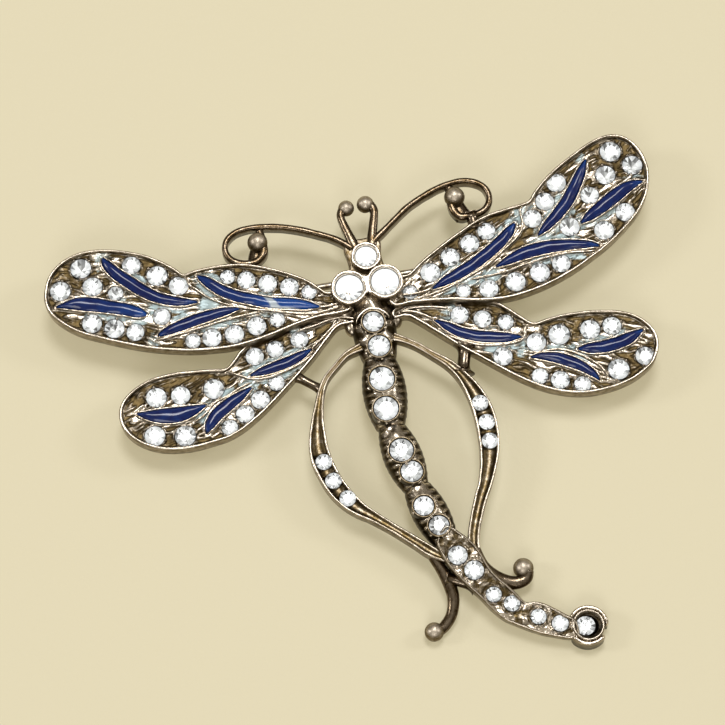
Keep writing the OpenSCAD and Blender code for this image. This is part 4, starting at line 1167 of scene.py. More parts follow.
@dataclass
class CutStone:
    """Round cut stones: table, star, bezel and girdle facets over a foiled pavilion."""

    node: str
    seed: int
    table: float = 0.56
    crown: float = 0.1595
    pavilion: float = 0.34
    band: float = 0.016
    lean: float = 0.05
    fold: int = 8
    calm: bool = False

    def cut(self) -> tuple[Array, Array, Array, Array]:
        """One stone of unit girdle, with its crown and its pavilion apart.

        Rings of fold or twice fold points stand at the table, half way down the crown, above and
        below the girdle and half way down the pavilion; triangles and kites join each ring to the
        next.

        Returns:
            points, triangles of the crown, quads of the crown, triangles of the pavilion.
        """
        def ring(count: int, radius: float, z: float, turn: float = 0.0) -> Array:
            """Points evenly round the axis."""
            a = 2 * math.pi * (np.arange(count) + turn) / count
            return np.column_stack([radius * np.cos(a), radius * np.sin(a), np.full(count, z)])

        n = self.fold
        points = np.vstack([
            ring(n, self.table / 2, self.crown), ring(n, 0.415, self.crown * 0.52, 0.5),
            ring(2 * n, 0.5, self.band), ring(2 * n, 0.5, 0.0), ring(n, 0.26, -self.pavilion * 0.44, 0.5),
            [[0.0, 0.0, -self.pavilion]], [[0.0, 0.0, self.crown]],
        ])
        k = np.arange(n)
        nxt, prev = (k + 1) % n, (k + n - 1) % n
        mid, top, low, deep = n + k, 2 * n, 4 * n, 6 * n
        star = np.column_stack([k, mid, nxt])
        fan = np.column_stack([np.full(n, 7 * n + 1), k, nxt])
        upper = np.vstack([
            np.column_stack([mid, top + 2 * k, top + 2 * k + 1]),
            np.column_stack([mid, top + 2 * k + 1, top + 2 * nxt]),
        ])
        bezel = np.column_stack([k, n + prev, top + 2 * k, mid])
        g = np.arange(2 * n)
        girdle = np.column_stack([top + g, low + g, low + (g + 1) % (2 * n), top + (g + 1) % (2 * n)])
        lower = np.vstack([
            np.column_stack([deep + k, low + 2 * k + 1, low + 2 * k]),
            np.column_stack([deep + k, low + 2 * nxt, low + 2 * k + 1]),
            np.column_stack([deep + k, low + 2 * k, deep + prev]),
            np.column_stack([np.full(n, 7 * n), deep + k, deep + prev]),
        ])
        return points, np.vstack([star, fan, upper]), np.vstack([bezel, girdle]), lower

    def glints(self, rng: np.random.Generator, far: Array) -> Array:
        """Painted reflections: brightness of the facets below the girdle, of which each stone has four times
        fold.

        In small stones the inner ones are pale, the outer ones light and dark by turns as painted glints, and
        those to the far side darker as painted shade. In calm stones all are white but for painted reflection
        marks to the near side.

        Args:
            rng: seeded random numbers.
            far: (stones, facets) how far each facet lies to the far side, from -1 to 1.

        Returns:
            (stones, facets) brightness between 0 and 1.
        """
        chance = rng.normal(0, 1, far.shape)
        if self.calm:
            reflection_mark = np.repeat([0.10, 1.0, 0.35, 0.0], self.fold)
            return np.clip(1.0 - reflection_mark * soft_step(-far, 0.1, 0.6) * (0.50 + 0.25 * chance), 0.0, 1.0)
        outer = np.where(np.arange(self.fold) % 2, 0.95, 0.55)
        usual = np.concatenate([outer, outer[::-1], np.full(self.fold, 0.78), np.full(self.fold, 0.90)])
        spread = np.repeat([0.2, 0.2, 0.28, 0.20], self.fold)
        shade = 0.65 * soft_step(far, 0.50, 0.95) * np.repeat([0, 0, 1, 1], self.fold)
        return np.clip(usual + spread * chance - shade, 0.0, 1.0)

    def build(self) -> None:
        """Sets a copy of the cut stone at each place, turned and leaning by seeded angles."""
        places = stone_places(self.node)
        points, crown, quads, pavilion = self.cut()
        rng = np.random.default_rng(self.seed)
        count = len(places)
        turn, way = rng.random((2, count, 1)) * 2 * math.pi
        lean = rng.random((count, 1)) * self.lean
        c, s = np.cos(turn), np.sin(turn)
        x, y = points[:, 0] * c - points[:, 1] * s, points[:, 0] * s + points[:, 1] * c
        z = points[:, 2] + lean * (x * np.cos(way) + y * np.sin(way))
        x, y = x - lean * np.cos(way) * points[:, 2], y - lean * np.sin(way) * points[:, 2]
        size = places[:, 2:3]
        co = np.stack([places[:, :1] + size * x, places[:, 1:2] + size * y, places[:, 3:4] + size * z], 2)
        shape = Shape()
        shift = (np.arange(count) * len(points))[:, None, None]
        shape.add(co.reshape(-1, 3), np.ones(3), quads[None] + shift, crown[None] + shift)
        facets = co[:, pavilion]
        out = facets.mean(2)[..., :2] - places[:, None, :2]
        far = out[..., 1] / np.maximum(np.linalg.norm(out, axis=2), 1e-6)
        facets = facets.reshape(-1, 3)
        # The foil facets get their painted reflection brightness from glints.
        tone = np.repeat(self.glints(rng, far).reshape(-1, 1), 3, 0) * [1.0, 0.0, 0.0]
        shape.add(facets, tone, NO_QUADS, np.arange(len(facets)).reshape(-1, 3))
        obj = shape.piece("cut_" + self.node, CRYSTAL, self.node, smooth=False)
        obj.data.materials.append(FOIL.material())
        index = np.repeat([0, 1], [(len(quads) + len(crown)) * count, len(pavilion) * count])
        obj.data.polygons.foreach_set("material_index", index)


def prongs(at: Array, places: Array, seed: int) -> Array:
    """The grains of metal pushed over a stone's edge: five small domes round each.

    Args:
        at: (n, 2) plan points.
        places: (m, 4) stones as x, y, diameter and girdle height.
        seed: seed of the grains' places.

    Returns:
        (n,) heights of the domes between 0 and 1, the root of 1 - r r within a grain.
    """
    rng = np.random.default_rng(seed)
    angle = rng.random((len(places), 1)) * 2 * math.pi + np.arange(5) * (2 * math.pi / 5)
    angle += rng.normal(0, 0.15, angle.shape)
    reach = places[:, 2:3] / 2 + 0.10
    grains = np.stack([places[:, :1] + reach * np.cos(angle), places[:, 1:2] + reach * np.sin(angle)], 2)
    away = np.full(len(at), 9.0)
    for one in grains.reshape(-1, 2):
        away = np.minimum(away, np.linalg.norm(at - one, axis=1))
    return np.sqrt(np.clip(1 - (away / 0.17) ** 2, 0, None))


@dataclass
class Wing:
    """One wing: a dish with a rounded rim, a textured floor, cell walls, veins and enamel leaves."""

    name: str
    plan: Plan
    top: float
    seed: int
    rim: float = 0.42
    drop: float = 0.55
    wall: float = 0.22
    vein: float = 0.26
    step: float = 0.14
    pitch: float = 0.07
    margin: float = 0.24
    skirt: float = 0.5
    run_on: float = 0.35
    leaf_reach: float = 0.22
    vein_reach: float = 0.12
    outline: Array = field(init=False)
    centres: dict[str, Array] = field(init=False)

    def build(self) -> None:
        """Makes the metal of the wing and its enamel leaves."""
        self.outline = self.plan.outline(WING_EDGES[self.name], self.step)
        names = [name for name in LEAVES if name.startswith("leaf_" + self.name)]
        self.centres = {name: self.leaf_line(LEAVES[name]) for name in names}
        metal = Shape()
        self.dish(metal)
        self.floor(metal)
        for line in self.centres.values():
            self.walls(metal, line)
        for rows in VEINS[self.name]:
            self.bead(metal, self.plan.line(rows), self.vein)
        metal.piece("wing_" + self.name, SILVER)
        for name, line in self.centres.items():
            self.leaf(name, line)

    def leaf_line(self, rows: Rows) -> Array:
        """Centre line of a leaf with its width, which is nowhere quite nothing.

        Args:
            rows: the leaf's table.

        Returns:
            (n, 3) points.
        """
        line = self.plan.line(rows)
        line[:, 2] = np.maximum(line[:, 2], 0.06)
        return line

    def dish(self, metal: Shape) -> None:
        """Back, side wall, rounded rim and the plain floor under the textured one.

        Args:
            metal: the shape that takes it.
        """
        run = np.arange(len(self.outline)) * self.step
        across = np.array([0.10, 0.0, 0.0, 0.0, 0.0, 0.03, 0.09, 0.17, 0.26, 0.33, 0.38, 0.41, 0.42])
        down = np.array([1.6, 1.5, 0.9, 0.42, 0.22, 0.11, 0.04, 0.0, 0.025, 0.10, 0.21, 0.40, 1.35])
        tone = tones(
            BACK, SIDE, SIDE, SIDE, SIDE, SIDE, WORN, POLISHED, WORN, SIDE, DEEP, RECESS, RECESS)
        uneven = 1.0 + 0.10 * wander(run, 9.0, self.seed)[:, None]
        height = self.top - down - 0.025 * (1 + wander(run, 6.0, self.seed + 1.0)[:, None]) * (down < 0.5)
        # Painted shade: on the wing's far side the bright rim tones are made darker and browner.
        far = soft_step(-left_normals(self.outline, True)[:, 1], 0.2, 0.9)[:, None, None]
        far_rim_shade = far * (tone[:, :1] > 0.3) * [-0.28, 0.5, 0.0]
        metal.slab(carried(self.outline, 0.012 + across * uneven, height, True), tone + far_rim_shade)

    def walls(self, metal: Shape, line: Array) -> None:
        """Two thin walls beside a leaf, which meet past its ends.

        Args:
            metal: the shape that takes it.
            line: (n, 3) centre line of a leaf with its width.
        """
        ahead, behind = line[-1, :2] - line[-3, :2], line[0, :2] - line[2, :2]
        ahead, behind = (v / np.linalg.norm(v) for v in (ahead, behind))
        first = np.append(line[0, :2] + behind * self.run_on, 0.0)
        last = np.append(line[-1, :2] + ahead * self.run_on, 0.0)
        longer = even_steps(np.vstack([first, line, last]), STEP)
        normal = left_normals(longer)
        for side in (-1, 1):
            away = side * (longer[:, 2] / 2 + self.wall * 0.55)[:, None]
            self.bead(metal, longer[:, :2] + normal * away, self.wall * 0.9)

    def bead(self, metal: Shape, line: Array, width: float) -> None:
        """A thin raised line with a round top that tapers at its ends.

        Args:
            metal: the shape that takes it.
            line: (n, 2) plan line.
            width: width of the bead.
        """
        half = width / 2
        across = half * np.array([-1.15, -1.0, -0.85, -0.5, 0.0, 0.5, 0.85, 1.0, 1.15])
        down = np.array([0.66, 0.24, 0.12, 0.04, 0.0, 0.04, 0.12, 0.24, 0.66])
        tone = both_sides(RECESS, RECESS, WORN, POLISHED, POLISHED)
        size = tapered(len(line), 0.07)[:, None]
        run = np.arange(len(line)) * STEP
        sink = 0.05 + 0.30 * (1 - size) + 0.03 * (1 + wander(run, 2.2, self.seed)[:, None])
        metal.tube(carried(line, across * (0.35 + 0.65 * size), self.top - sink - down), tone)

    def floor(self, metal: Shape) -> None:
        """Textured floor: ridges beside the leaves, flecks, seats and grains that hold the stones.

        Args:
            metal: the shape that takes it.
        """
        size, flat, keep, edge = grid_in(self.outline, self.pitch, self.margin)
        height, tone = np.zeros(len(flat)), np.zeros((len(flat), 3))
        height[keep], tone[keep] = self.relief(flat[keep], edge[keep])
        points = np.column_stack([flat, height])
        metal.sheet(points.reshape(*size, 3), tone.reshape(*size, 3), keep.reshape(size), self.skirt)

    def relief(self, at: Array, edge: Array) -> tuple[Array, Array]:
        """Height and tones of the floor.

        Args:
            at: (n, 2) points of the floor.
            edge: (n,) distances from the outline.

        Returns:
            (n,) heights and (n, 3) tones.
        """
        level = self.top - self.drop
        leaf = np.min([line_distance(at, line) for line in self.centres.values()], 0)
        veins = [smooth_curve(self.plan.at(rows), False) for rows in VEINS[self.name]]
        vein = np.min([line_distance(at, line) for line in veins], 0)
        close = np.minimum(leaf - self.leaf_reach, vein - self.vein_reach)
        places = stone_places("stones_" + self.name)
        near, stone, turn = nearest_stone(at, places)

        patchy = grain(at, 0.55, self.seed)
        root = 1 - soft_step(np.abs(at[:, 0] + self.plan.mid[0]), 6.0, 9.5)
        beside = np.maximum(1 - soft_step(close, 0.45, 1.30), root)
        way = np.linalg.eigh(np.cov(self.outline.T))[1][:, 1]
        s, t = at @ way, at @ np.array([-way[1], way[0]])
        bent = t + 0.9 * grain(at, 2.2, self.seed + 2)
        fibre = grain(np.column_stack([0.20 * s, bent]), 0.22, self.seed + 1)
        streak = soft_step(fibre, 0.36 - 0.12 * root, 0.76)
        ridge = streak * (0.35 + 0.65 * beside) * soft_step(close, 0.0, 0.10)
        rise = 0.06 * patchy + 0.15 * ridge
        rise += 0.10 * np.exp(-np.clip(edge - self.rim, 0, None) / 0.06)
        rise += 0.12 * np.exp(-np.clip(close, 0, None) / 0.10)
        lip = np.exp(-((stone - 0.13) / 0.07) ** 2) * (0.55 + 0.45 * np.sin(5 * turn + 3.0 * near))
        rise = np.maximum(rise, 0.16 * lip)
        rise = np.where(stone < 0.05, -0.10, rise)

        dome = prongs(at, places, self.seed + 7)
        rise = np.maximum(rise, 0.38 * dome)
        height = np.minimum(level + rise, self.top - 0.06)
        pit = places[near, 3] - 0.12 - 2 * CutStone.pavilion * np.clip(-stone, 0, None)
        height = np.where((stone < 0.0) & (dome < 0.3), pit, height)
        height = np.where(leaf < 0.03, level - 0.06, height)

        bright = 0.06 + soft_step(rise, 0.05, 0.21) * np.where(stone < 0.0, 0.3, 0.62 + 0.38 * beside)
        spill = np.zeros(len(at))
        for spot in self.plan.at(GLAZE[self.name]):
            reach = np.linalg.norm(at - spot[:2], axis=1) / spot[2]
            spill = np.maximum(spill, 1.35 * np.exp(-(reach**2)))
        spill = np.maximum(spill, 0.8 * soft_step(grain(at, 2.6, self.seed + 4), 0.40, 0.75))
        spill *= (1 - soft_step(close, 0.35, 0.90)) * (1 - 0.75 * root)
        spill *= (stone > 0.05) * (0.55 + 0.75 * grain(at, 0.4, self.seed + 3))
        # Painted shade: the floor's warmth fades out round each stone, so that its seat is dark.
        warm = (0.12 + 0.50 * grain(at, 0.8, self.seed + 5)) * soft_step(stone, 0.02, 0.40)
        return height, np.column_stack([bright, warm, spill])

    def leaf(self, name: str, line: Array) -> None:
        """A domed enamel leaf: across it the height is 1 - v v of the way up, v from side to side.

        Args:
            name: the leaf's CAD node.
            line: (n, 3) centre line with the width.
        """
        v = np.linspace(-1, 1, 13)
        base = self.top - self.drop + 0.01
        full = tapered(len(line), 0.12)[:, None]
        half = line[:, 2:3] / 2 - 0.01
        reach = np.arange(len(line)) * STEP
        seed = self.seed + len(name)
        tilt = 0.10 * left_normals(line)[:, 1:] + 0.07 * wander(reach, 5.5, seed)[:, None]
        dome = 0.21 + (0.25 + 0.04 * wander(reach, 12.0, seed + 2.0)[:, None]) * (1 - v**2) + v * tilt
        height = base + dome * (0.55 + 0.45 * full)
        across = np.concatenate([np.full((len(line), 1), -1.0) * half, half * v, half], 1)
        ends = np.full((len(line), 1), base)
        skin = Shape()
        run = np.linspace(0, 1, len(line))[:, None]
        lift, pale = LEAF_TINTS.get(name, (0.0, 9.0))
        side = np.concatenate([[-1.0], v, [1.0]])
        ragged = run - pale + 0.035 * side + 0.012 * side**2
        beyond = np.exp(-(((ragged - 0.10) / 0.10) ** 2)) * soft_step(-side, 0.3, 1.0)
        break_share = np.exp(-((ragged / 0.034) ** 2)) + 0.8 * beyond
        tip = 0.35 * np.exp(-((run / 0.05) ** 2)) + 0.60 * np.exp(-(((1 - run) / 0.10) ** 2))
        lifted = lift * (0.12 + 0.88 * soft_step(run, 0.30, 0.75)) + tip + 0.08 * np.abs(side) ** 3
        tone = np.stack([lifted, 0 * lifted, break_share], 2)
        skin.tube(carried(line, across, np.concatenate([ends, height, ends], 1)), tone)
        skin.piece("enamel_" + name.removeprefix("leaf_"), ENAMEL, name)


def ring_of(radius: Array, height: Array, x: float, y: float, count: int = 48) -> Array:
    """A profile of radii and heights turned round the vertical axis at x, y.

    Args:
        radius: (rings,) or (rings, count) radii.
        height: (rings,) heights.
        x: middle.
        y: middle.
        count: points round each ring.

    Returns:
        (rings, count, 3) points.
    """
    a = angles(count)
    r = np.broadcast_to(radius, (count, len(height))).T if np.ndim(radius) == 1 else radius
    z = np.broadcast_to(height, (count, len(height))).T
    return np.stack([x + r * np.cos(a), y + r * np.sin(a), z], 2)


def ball_of(middle: list[float], radii: list[float], rows: int = 22, count: int = 40) -> Array:
    """A ball or squashed ball whose radius wanders by a hundredth or two, as rings from top to bottom.

    Args:
        middle: x, y and z of the middle.
        radii: half widths along x, y and z.
        rows: rings from pole to pole.
        count: points round each ring.

    Returns:
        (rows, count, 3) points.
    """
    polar = np.linspace(0.06, math.pi - 0.06, rows)[:, None]
    a = np.linspace(0, 2 * math.pi, count, endpoint=False)[None, :]
    uneven = 1 - 0.012 * (1 + np.sin(3 * a + middle[0]) * np.sin(2 * polar))
    unit = np.stack([np.sin(polar) * np.cos(a), np.sin(polar) * np.sin(a), np.cos(polar) + 0 * a], 2)
    return np.array(middle) + np.array(radii) * uneven[:, :, None] * unit


@dataclass
class Body:
    """Thorax and three abdomen parts: ribbed spindles, flat behind, with cups for the stones."""

    plan: Plan
    radius: float = 2.45
    axis: float = 3.1
    back: float = 1.2
    rib: float = 0.13
    collar: float = 0.25
    seat_gap: float = 0.04
    cup: float = 0.13
    names: tuple[str, ...] = ("thorax", "abdomen_upper", "abdomen_middle", "abdomen_lower")

    def build(self) -> None:
        """Makes the spindles, each with its cups, and the arch over the first stone."""
        stones = self.plan.raised(BODY_STONES)
        for number, row in enumerate(BODY):
            metal = Shape()
            self.spindle(metal, row, number, stones)
            for stone in stones[2 * number:2 * number + 2]:
                self.cup_round(metal, stone, number)
                self.grains(metal, stone)
            if number == 0:
                self.arch(metal, stones[0])
                self.shoulders(metal)
            metal.piece(self.names[number], SILVER)

    def spindle(self, metal: Shape, row: list[float], number: int, stones: Array) -> None:
        """A ribbed spindle between two points.

        Its radius is the end radius plus a share of the swell, sin(pi u) to the power 0.8, with u
        along it. Round it, ribs stand at the sides and fade to the front, and the back is cut flat.

        Args:
            metal: the shape that takes it.
            row: its row of BODY.
            number: which of the four it is.
            stones: (n, 4) stones that it makes room for.
        """
        start, end = self.plan.at([row[:2], row[2:4]])
        a = np.append(start, self.axis + row[6] * self.radius)
        b = np.append(end, self.axis + row[7] * self.radius)
        ribs = row[8]
        u = np.linspace(0, 1, 14 * ribs + 1)[:, None]
        v = np.linspace(0, 2 * math.pi, 64, endpoint=False)[None, :]
        swell = row[5] + (row[4] - row[5]) * np.sin(math.pi * np.clip(u, 0.001, 0.999)) ** 0.8
        side = soft_step(np.abs(np.sin(v)), 0.42, 0.58) * soft_step(np.cos(v), -0.75, -0.2)
        slant = ribs * u + 0.3 * np.abs(np.sin(v))
        slot = (0.5 - 0.5 * np.cos(2 * math.pi * slant)) ** 0.35
        slot = slot * soft_step(u, 0.0, 0.04) * soft_step(1 - u, 0.0, 0.04)
        slot = slot * (0.8 + 0.2 * np.sin(7.0 * u * ribs + 3 * v))
        outer = soft_step(np.abs(np.sin(v)), 0.66, 0.90)
        radius = swell * self.radius - self.rib * slot * side * (1 - 0.6 * outer)
        waist = np.minimum(u, 1 - u)
        web = 0.07 * np.exp(-((np.abs(np.sin(v)) - 0.35) / 0.2) ** 2) * np.cos(4 * math.pi * u)
        web = web + 0.05 * np.sin(11 * math.pi * u + 2 * np.sin(3 * v + number)) * np.exp(-((v / 1.2) ** 2))
        radius = radius + web * (np.cos(v) > 0)
        if number == 0:
            lump = np.sin(9 * u + 2 * v) * np.sin(5 * v + 6 * u)
            radius = radius + 0.10 * lump * soft_step(u, 0.05, 0.2) * (1 - soft_step(u, 0.35, 0.6))
        up = np.maximum(radius * np.cos(v), -self.back)
        across = radius * np.sin(v)
        right, front = bar_axes(a, b)
        spine = a + (b - a) * u
        points = spine[:, None, :] + across[:, :, None] * right + up[:, :, None] * front
        front_share = soft_step(np.cos(v), 0.76, 0.93)
        # Painted light: the rib crests are lighter, partly as polish and partly as painted glints that fade
        # toward the flanks; the waists carry painted highlight patches; the flanks are made less warm as
        # painted shade. The dark grooves between the ribs are patina.
        bright = 0.17 + 0.42 * front_share - 0.20 * slot * side
        bright = bright + 1.3 * side * (1 - outer) * (1 - slot) ** 1.6
        bright = bright + 0.75 * (1 - side) * np.exp(-(((waist - 0.045) / 0.04) ** 2)) * (number > 0)
        bright = np.where(np.cos(v) < -0.3, 0.4, bright)
        warm = (0.8 - 0.35 * outer) * (1 - 0.7 * slot * side)
        metal.tube(seated(points, stones, 0.15, 1.25), toned(bright, warm))

    def cup_round(self, metal: Shape, stone: Array, seed: int) -> None:
        """A cup: outer wall, round lip, inner wall and a floor under the stone.

        Args:
            metal: the shape that takes it.
            stone: x, y, diameter and girdle height.
            seed: what the unevenness starts from.
        """
        x, y, d, girdle = stone
        inner = d / 2 + self.seat_gap
        out = np.array([0.30, 0.29, 0.27, 0.23, 0.18, 0.13, 0.09, 0.05, 0.0, 0.0])
        up = np.array([-1.5, -0.5, -0.02, 0.10, 0.165, self.cup, 0.15, 0.06, -0.06, -0.9])
        tone = tones(RECESS, RECESS, RECESS, DEEP, SIDE, SIDE, DEEP, RECESS, RECESS, RECESS)
        a = angles(48)
        uneven = 1 + 0.04 * np.sin(3 * a + seed + x) + 0.03 * np.sin(5 * a + y)
        radius = inner + out[:, None] * self.collar / 0.30 * uneven
        metal.tube(ring_of(radius, girdle + up, x, y), tone[:, None, :])

    def grains(self, metal: Shape, stone: Array) -> None:
        """Small balls of metal pressed against a stone's cup, unevenly spaced round it.

        Args:
            metal: the shape that takes them.
            stone: x, y, diameter and girdle height.
        """
        x, y, d, girdle = stone
        for number, turn in enumerate(np.arange(8) * 0.79 + 0.4 * np.sin(3 * np.arange(8) + x)):
            size = 0.17 + 0.05 * math.sin(5.0 * number + y)
            reach = d / 2 + self.collar + 0.06
            middle = [x + reach * math.cos(turn), y + reach * math.sin(turn), girdle - 0.06]
            metal.tube(ball_of(middle, [size, size, size], 8, 12), np.array([0.75, 0.5, 0.0]))

    def shoulders(self, metal: Shape) -> None:
        """The lumps of solder where the wings meet the thorax: squashed balls.

        Args:
            metal: the shape that takes them.
        """
        for x, y, wide, long, top in SHOULDERS:
            left, down = self.plan.at([[x, y]])[0]
            lump = ball_of([left, down, top - 0.8], [wide, long, 0.8], 20, 48)
            metal.tube(lump, np.array([0.42, 0.7, 0.0]))

    def arch(self, metal: Shape, stone: Array) -> None:
        """The raised arch behind the first stone: a bead round its far side with turned-out ends.

        Args:
            metal: the shape that takes it.
            stone: x, y, diameter and girdle height.
        """
        a = np.radians(np.linspace(8, 172, 40))
        reach = stone[2] / 2 + 0.42 + 0.28 * np.abs(np.cos(a)) ** 6
        line = np.column_stack([stone[0] + reach * np.cos(a), stone[1] + reach * np.sin(a)])
        bead_on(metal, line, 0.34, stone[3] + 0.20, 0.9)


def bead_on(metal: Shape, line: Array, width: float, top: float, depth: float) -> None:
    """A raised line with a round top on a plan line, its ends tapered, from top down to depth.

    Args:
        metal: the shape that takes it.
        line: (n, 2) plan line.
        width: width of the bead.
        top: height of its crest.
        depth: how far its foot lies below the crest.
    """
    half = width / 2
    across = half * np.array([-1.0, -0.97, -0.75, -0.4, 0.0, 0.4, 0.75, 0.97, 1.0])
    down = half * np.array([0.0, 0.9, 0.36, 0.09, 0.0, 0.09, 0.36, 0.9, 0.0])
    down[[0, -1]] = depth
    tone = both_sides(RECESS, SIDE, WORN, POLISHED, POLISHED)
    size = tapered(len(line), 0.15)[:, None]
    metal.tube(carried(line, across * (0.3 + 0.7 * size), top - 0.12 * (1 - size) - down), tone)


@dataclass
class Head:
    """Head plate, the two eye cups grown together, the crown cup and the bridge between them."""

    plan: Plan
    top: float = 4.6
    bottom: float = 3.1
    eye: float = 2.0
    eye_top: float = 5.8
    crown: float = 1.65
    crown_top: float = 5.4
    seat_gap: float = 0.05
    rays: int = 96
    waist: float = 0.55
    halvings: int = 24

    def build(self) -> None:
        """Makes the plate and the cups."""
        metal = Shape()
        outline = self.plan.outline(HEAD_EDGE)
        across = np.array([0.06, 0.0, 0.0, 0.05, 0.14, 0.26])
        low, top = self.bottom, self.top - 0.25
        height = np.array([low, low + 0.1, top - 0.2, top - 0.06, top - 0.01, top])
        metal.slab(carried(outline, across, height, True), tones(BACK, DEEP, DEEP, SIDE, DEEP, DEEP))
        metal.piece("head_plate", SILVER)
        left, right, crown = self.plan.at(HEAD_STONES)
        cups = Shape()
        for here, other in ((left, right), (right, left)):
            self.eye_cup(cups, here, other)
        cups.piece("eye_cups", SILVER)
        third = Shape()
        self.cup(third, crown, np.full(self.rays, self.crown), self.crown_top)
        third.piece("crown_cup", SILVER)

    def eye_cup(self, metal: Shape, here: Array, other: Array) -> None:
        """One eye cup, whose outer wall runs into the other's over a soft waist.

        The outer edge is where the smooth least of both circles' distances is zero, found by
        halving along each ray, and each ray stops at the plane half way between the eyes.

        Args:
            metal: the shape that takes it.
            here: x, y and diameter of its stone.
            other: the other eye's.
        """
        a = angles(self.rays)
        ray = np.column_stack([np.cos(a), np.sin(a)])
        low, high = np.full(self.rays, self.eye * 0.9), np.full(self.rays, self.eye * 2.2)
        for _ in range(self.halvings):
            r = (low + high) / 2
            at = here[:2] + ray * r[:, None]
            one = r - self.eye
            two = np.linalg.norm(at - other[:2], axis=1) - self.eye
            h = np.clip(0.5 + 0.5 * (two - one) / self.waist, 0, 1)
            both = two + (one - two) * h - self.waist * h * (1 - h)
            low, high = np.where(both < 0, r, low), np.where(both < 0, high, r)
        gap = (other[:2] - here[:2]) / 2
        toward = ray @ (gap / np.linalg.norm(gap))
        plane = np.where(toward > 0.05, np.linalg.norm(gap) / np.maximum(toward, 0.05), 99.0)
        self.cup(metal, here, np.minimum(high, plane), self.eye_top, plane < high)

    def cup(self, metal: Shape, stone: Array, outer: Array, top: float, joined: Array | bool = False) -> None:
        """A cup with a flat polished lip: outer wall, lip with soft edges, inner wall and floor.

        Args:
            metal: the shape that takes it.
            stone: x, y and diameter.
            outer: (n,) radii of the outer wall.
            top: height of the lip.
            joined: (n,) where the wall meets the other cup's.
        """
        inner = stone[2] / 2 + self.seat_gap
        wide = outer - inner
        share = np.array([0.97, 1.0, 1.0, 0.97, 0.90, 0.78, 0.60, 0.42, 0.26, 0.12, 0.0, 0.0])[:, None]
        foot = top - self.bottom - 0.1
        down = np.array([foot, 0.9, 0.40, 0.22, 0.10, 0.025, 0.0, 0.02, 0.07, 0.16, 0.34, 1.45])
        down = np.repeat(down[:, None], len(outer), 1)
        down[3:6] *= np.where(joined, 0.0, 1.0)
        radius = inner + share * wide
        a = angles(len(outer))
        points = np.stack([
            stone[0] + radius * np.cos(a), stone[1] + radius * np.sin(a),
            top - np.broadcast_to(down, radius.shape),
        ], 2)
        tone = tones(
            DEEP, SIDE, SIDE, SIDE, WORN, POLISHED, POLISHED, POLISHED, POLISHED, WORN, WORN, RECESS)
        metal.tube(points, tone[:, None, :])


@dataclass
class Feeler:
    """A feeler: a tall thin strip with a round top and brown sides."""

    name: str
    plan: Plan
    rows: Rows
    top: float = 4.6
    tall: float = 1.4

    def build(self) -> None:
        """Carries the strip's section along its line."""
        line = self.plan.line(self.rows)
        half = line[:, 2:3] / 2
        run = np.arange(len(line)) * STEP
        across = 1.12 * np.array([-0.85, -1.0, -1.0, -0.94, -0.75, -0.4, 0.0, 0.4, 0.75, 0.94, 1.0, 0.85])
        down = np.array([self.tall, self.tall - 0.12, 0.36, 0.21, 0.09, 0.02, 0.0, 0.02, 0.09, 0.21,
                         0.40, self.tall])
        tone = tones(RECESS, DEEP, DEEP, DEEP, DEEP, SIDE, SIDE, SIDE, DEEP, DEEP, DEEP, RECESS)
        uneven = 1 + 0.07 * wander(run, 4.0, len(self.rows))[:, None]
        metal = Shape()
        metal.tube(carried(line, half * across * uneven, self.top - down), tone)
        metal.piece(self.name, BRONZED)


@dataclass
class Leg:
    """A leg: a ribbon with two raised round edges and a dark channel between them."""

    side: str
    plan: Plan
    rows: Rows
    hinge: float
    top: float = 4.3
    slope: float = 2.5
    thick: float = 1.5
    edge: float = 0.34
    channel: float = 0.26

    def build(self) -> None:
        """Carries the ribbon's section along its line and slopes it down to the tail."""
        line = self.plan.line(self.rows)
        half = line[:, 2:3] / 2
        run = np.arange(len(line)) * STEP
        e, c = self.edge, self.channel
        e = e * (1 + 0.12 * wander(run, 5.0, len(self.rows))[:, None]) * np.minimum(1, half / 0.42)
        outer = np.array([0.05, 0.0, 0.0, 0.02])
        lip = np.array([0.12, 0.32, 0.5, 0.7, 0.9, 1.0, 1.1])
        fall = np.array([self.thick, self.thick - 0.1, 0.22, 0.11, 0.045, 0.005, 0.0, 0.02, 0.09, 0.18, c])
        left = np.concatenate([np.broadcast_to(outer, (len(line), 4)), lip * e], 1) - half
        across = np.concatenate([left, np.zeros((len(line), 1)), -left[:, ::-1]], 1)
        open_share = 0.25 + 0.75 * soft_step(half, 0.45, 0.85)
        height = np.broadcast_to(-np.concatenate([fall, [c - 0.07], fall[::-1]]), across.shape).copy()
        height[:, 7:16] *= open_share
        metal = Shape()
        points = sloped(carried(line, across, height), self.hinge, self.top, self.slope)
        stones = np.vstack([stone_places(f"stone_{self.side}_leg_{number}") for number in (1, 2, 3)])
        tone = both_sides(RECESS, DEEP, SIDE, SIDE, WORN, POLISHED, WORN, SIDE, DEEP, DEEP, RECESS, SIDE)
        tone = np.repeat(tone[None], len(line), 0)
        tone[:, 7:16] += (1 - open_share)[:, :, None] * [0.16, 0.6, 0.0]
        tone[..., 0] *= 1 - 0.55 * (1 - open_share)
        metal.tube(seated(points, stones, -0.03, 0.72), tone)
        metal.piece("leg_" + self.side, SILVER)


@dataclass
class Foot:
    """The thin end of a leg: a plain round-topped strip."""

    name: str
    plan: Plan
    rows: Rows
    hinge: float
    top: float = 3.0
    slope: float = 13.0
    thick: float = 1.0
    swell: float = 1.2

    def build(self) -> None:
        """Carries the strip along its line and slopes it down."""
        line = self.plan.line(self.rows)
        half = line[:, 2:3] / 2
        turn = np.radians([-115, -100, -80, -60, -40, -20, 0, 20, 40, 60, 80, 100, 115])
        across = self.swell * half * np.sin(turn)
        height = self.thick / 2 * (np.cos(turn) - 1)
        tone = both_sides(RECESS, DEEP, DEEP, DEEP, SIDE, SIDE, WORN)
        metal = Shape()
        metal.tube(sloped(carried(line, across, height), self.hinge, self.top, self.slope), tone)
        metal.piece(self.name, BRONZED)


